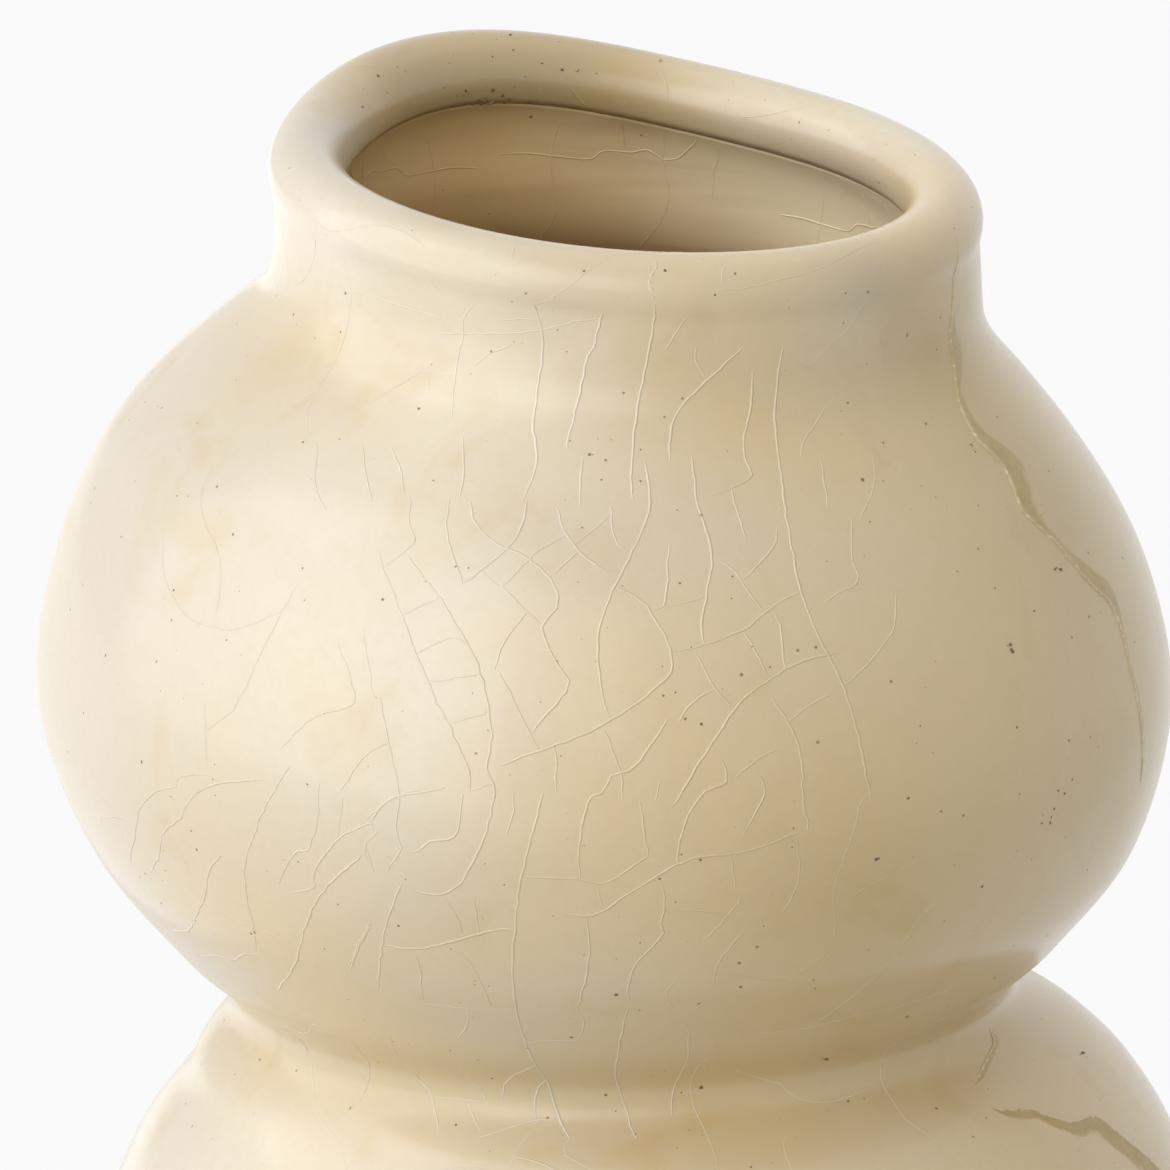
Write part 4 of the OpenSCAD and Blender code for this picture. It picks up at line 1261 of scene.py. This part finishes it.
crumbs = crumbTree().build("gritCrumbs", lineMesh("gritSpots", crumbSpots, [], {}), {
    "Skin": outerGlaze, "Seed": grit["seed"], "Smallest": grit["smallest"] * mm,
    "Largest": grit["largest"] * mm, "Flattest": grit["flattest"], "Most turn": grit["mostTurn"],
    "Finish": gritFinish})
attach(crumbs, "root")
print("grit scattered")


# carried CAD pieces

carried = {
    "foot_ring": bareFinish, "floor_slab": bareFinish, "lower_bulb": bodyFinish, "waist_slip": slipFinish,
    "upper_bulb": bodyFinish, "neck_slip": slipFinish, "collar": bodyFinish, "lip_roll": bodyFinish,
    "outer_glaze": creamFinish, "liner_glaze": linerFinish, "glaze_runs": creamFinish,
}
for node, finish in carried.items():
    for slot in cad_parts[node].material_slots:
        slot.material = finish


# floor, light and camera

studio = {
    "elevation": 15.5, "aim": (-5.04, -12.67, 131.8), "distance": 1500.0, "lens": 384.6,
    "ambient": 0.48, "floorShare": 0.92, "floorSize": 8, "floorTone": 0.5, "floorRoughness": 0.8,
}


def seenShare(net):
    # 1 where the camera looks, straight, mirrored or through; 0 where only light is gathered
    rays = net.add("ShaderNodeLightPath")
    seen = rays.out("Is Camera Ray") + rays.out("Is Glossy Ray") + rays.out("Is Transmission Ray")
    return seen.math("MINIMUM", 1.0)


side = studio["floorSize"]
floorMesh = bpy.data.meshes.new("studioFloor")
corners = [(-side, -side, 0), (side, -side, 0), (side, side, 0), (-side, side, 0)]
floorMesh.from_pydata(corners, [], [(0, 1, 2, 3)])
floor = bpy.data.objects.new("studioFloor", floorMesh)
bpy.context.scene.collection.objects.link(floor)
floorFinish = bpy.data.materials.new("paleFloor")
floorFinish.use_nodes = True
floorNet = Net(floorFinish.node_tree)
floorNodes = floorFinish.node_tree.nodes
floorShader = floorNodes["Principled BSDF"]
floorNet.feed(floorShader.inputs["Base Color"], (studio["floorTone"],) * 3)
floorNet.feed(floorShader.inputs["Roughness"], studio["floorRoughness"])
white = floorNet.add("ShaderNodeEmission", {}, {"Color": (1, 1, 1), "Strength": 1.0})
matt = Wire(floorNet, floorShader.outputs[0])
mixed = floorNet.add("ShaderNodeMixShader", {},
                     {0: seenShare(floorNet) * studio["floorShare"], 1: matt, 2: white})
floorNet.feed(floorNodes["Material Output"].inputs["Surface"], mixed)
floorMesh.materials.append(floorFinish)

world = bpy.data.worlds.new("paleRoom")
bpy.context.scene.world = world
world.use_nodes = True
worldNet = Net(world.node_tree)
background = world.node_tree.nodes["Background"]
worldNet.feed(background.inputs["Color"], (1, 1, 1))
strength = seenShare(worldNet) * (1.0 - studio["ambient"]) + studio["ambient"]
worldNet.feed(background.inputs["Strength"], strength)

softboxes = {
    # name: place in metres, size, power, what it points at, and whether only gloss shows it
    "leftWall": ((-1.52, 0.12, 1.00), (3.20, 1.98), 17.2, (-0.85, 0.86, 1.00), False),
    "leftGlow": ((-1.49, 0.14, 1.00), (3.10, 1.92), 10.5, (-0.82, 0.88, 1.00), True),
    "tableGlow": ((-1.16, 0.10, 0.01), (2.10, 2.60), 8.5, (-1.16, 0.101, 1.00), False),
    "topLeft": ((-0.75, 0.05, 1.25), (0.80, 0.80), 2.1, (0, 0, 0.16), False),
    "frontFill": ((-0.30, -1.00, 0.80), (1.00, 0.80), 2.9, (0, 0, 0.12), False),
    "overhead": ((0.10, 0.38, 1.30), (1.00, 0.90), 0.9, (0, 0, 0.14), False),
}
for name, (place, size, power, target, glossOnly) in softboxes.items():
    lamp = bpy.data.lights.new(name, "AREA")
    lamp.shape, lamp.size, lamp.size_y, lamp.energy = "RECTANGLE", size[0], size[1], power
    holder = bpy.data.objects.new(name, lamp)
    holder.location = place
    holder.rotation_euler = (Vector(target) - Vector(place)).to_track_quat("-Z", "Y").to_euler()
    holder.visible_diffuse, holder.visible_camera = not glossOnly, False
    bpy.context.scene.collection.objects.link(holder)

lens = bpy.data.cameras.new("photoCamera")
lens.lens, lens.sensor_width, lens.clip_start, lens.clip_end = studio["lens"], 36.0, 0.01, 100.0
camera = bpy.data.objects.new("photoCamera", lens)
rise = math.radians(studio["elevation"])
away = Vector((0, -math.cos(rise), math.sin(rise)))
camera.location = (Vector(studio["aim"]) + studio["distance"] * away) * mm
camera.rotation_euler = (math.pi / 2 - rise, 0, 0)
bpy.context.scene.collection.objects.link(camera)
bpy.context.scene.camera = camera
bpy.context.scene.view_settings.view_transform = "Standard"

print("studio set")
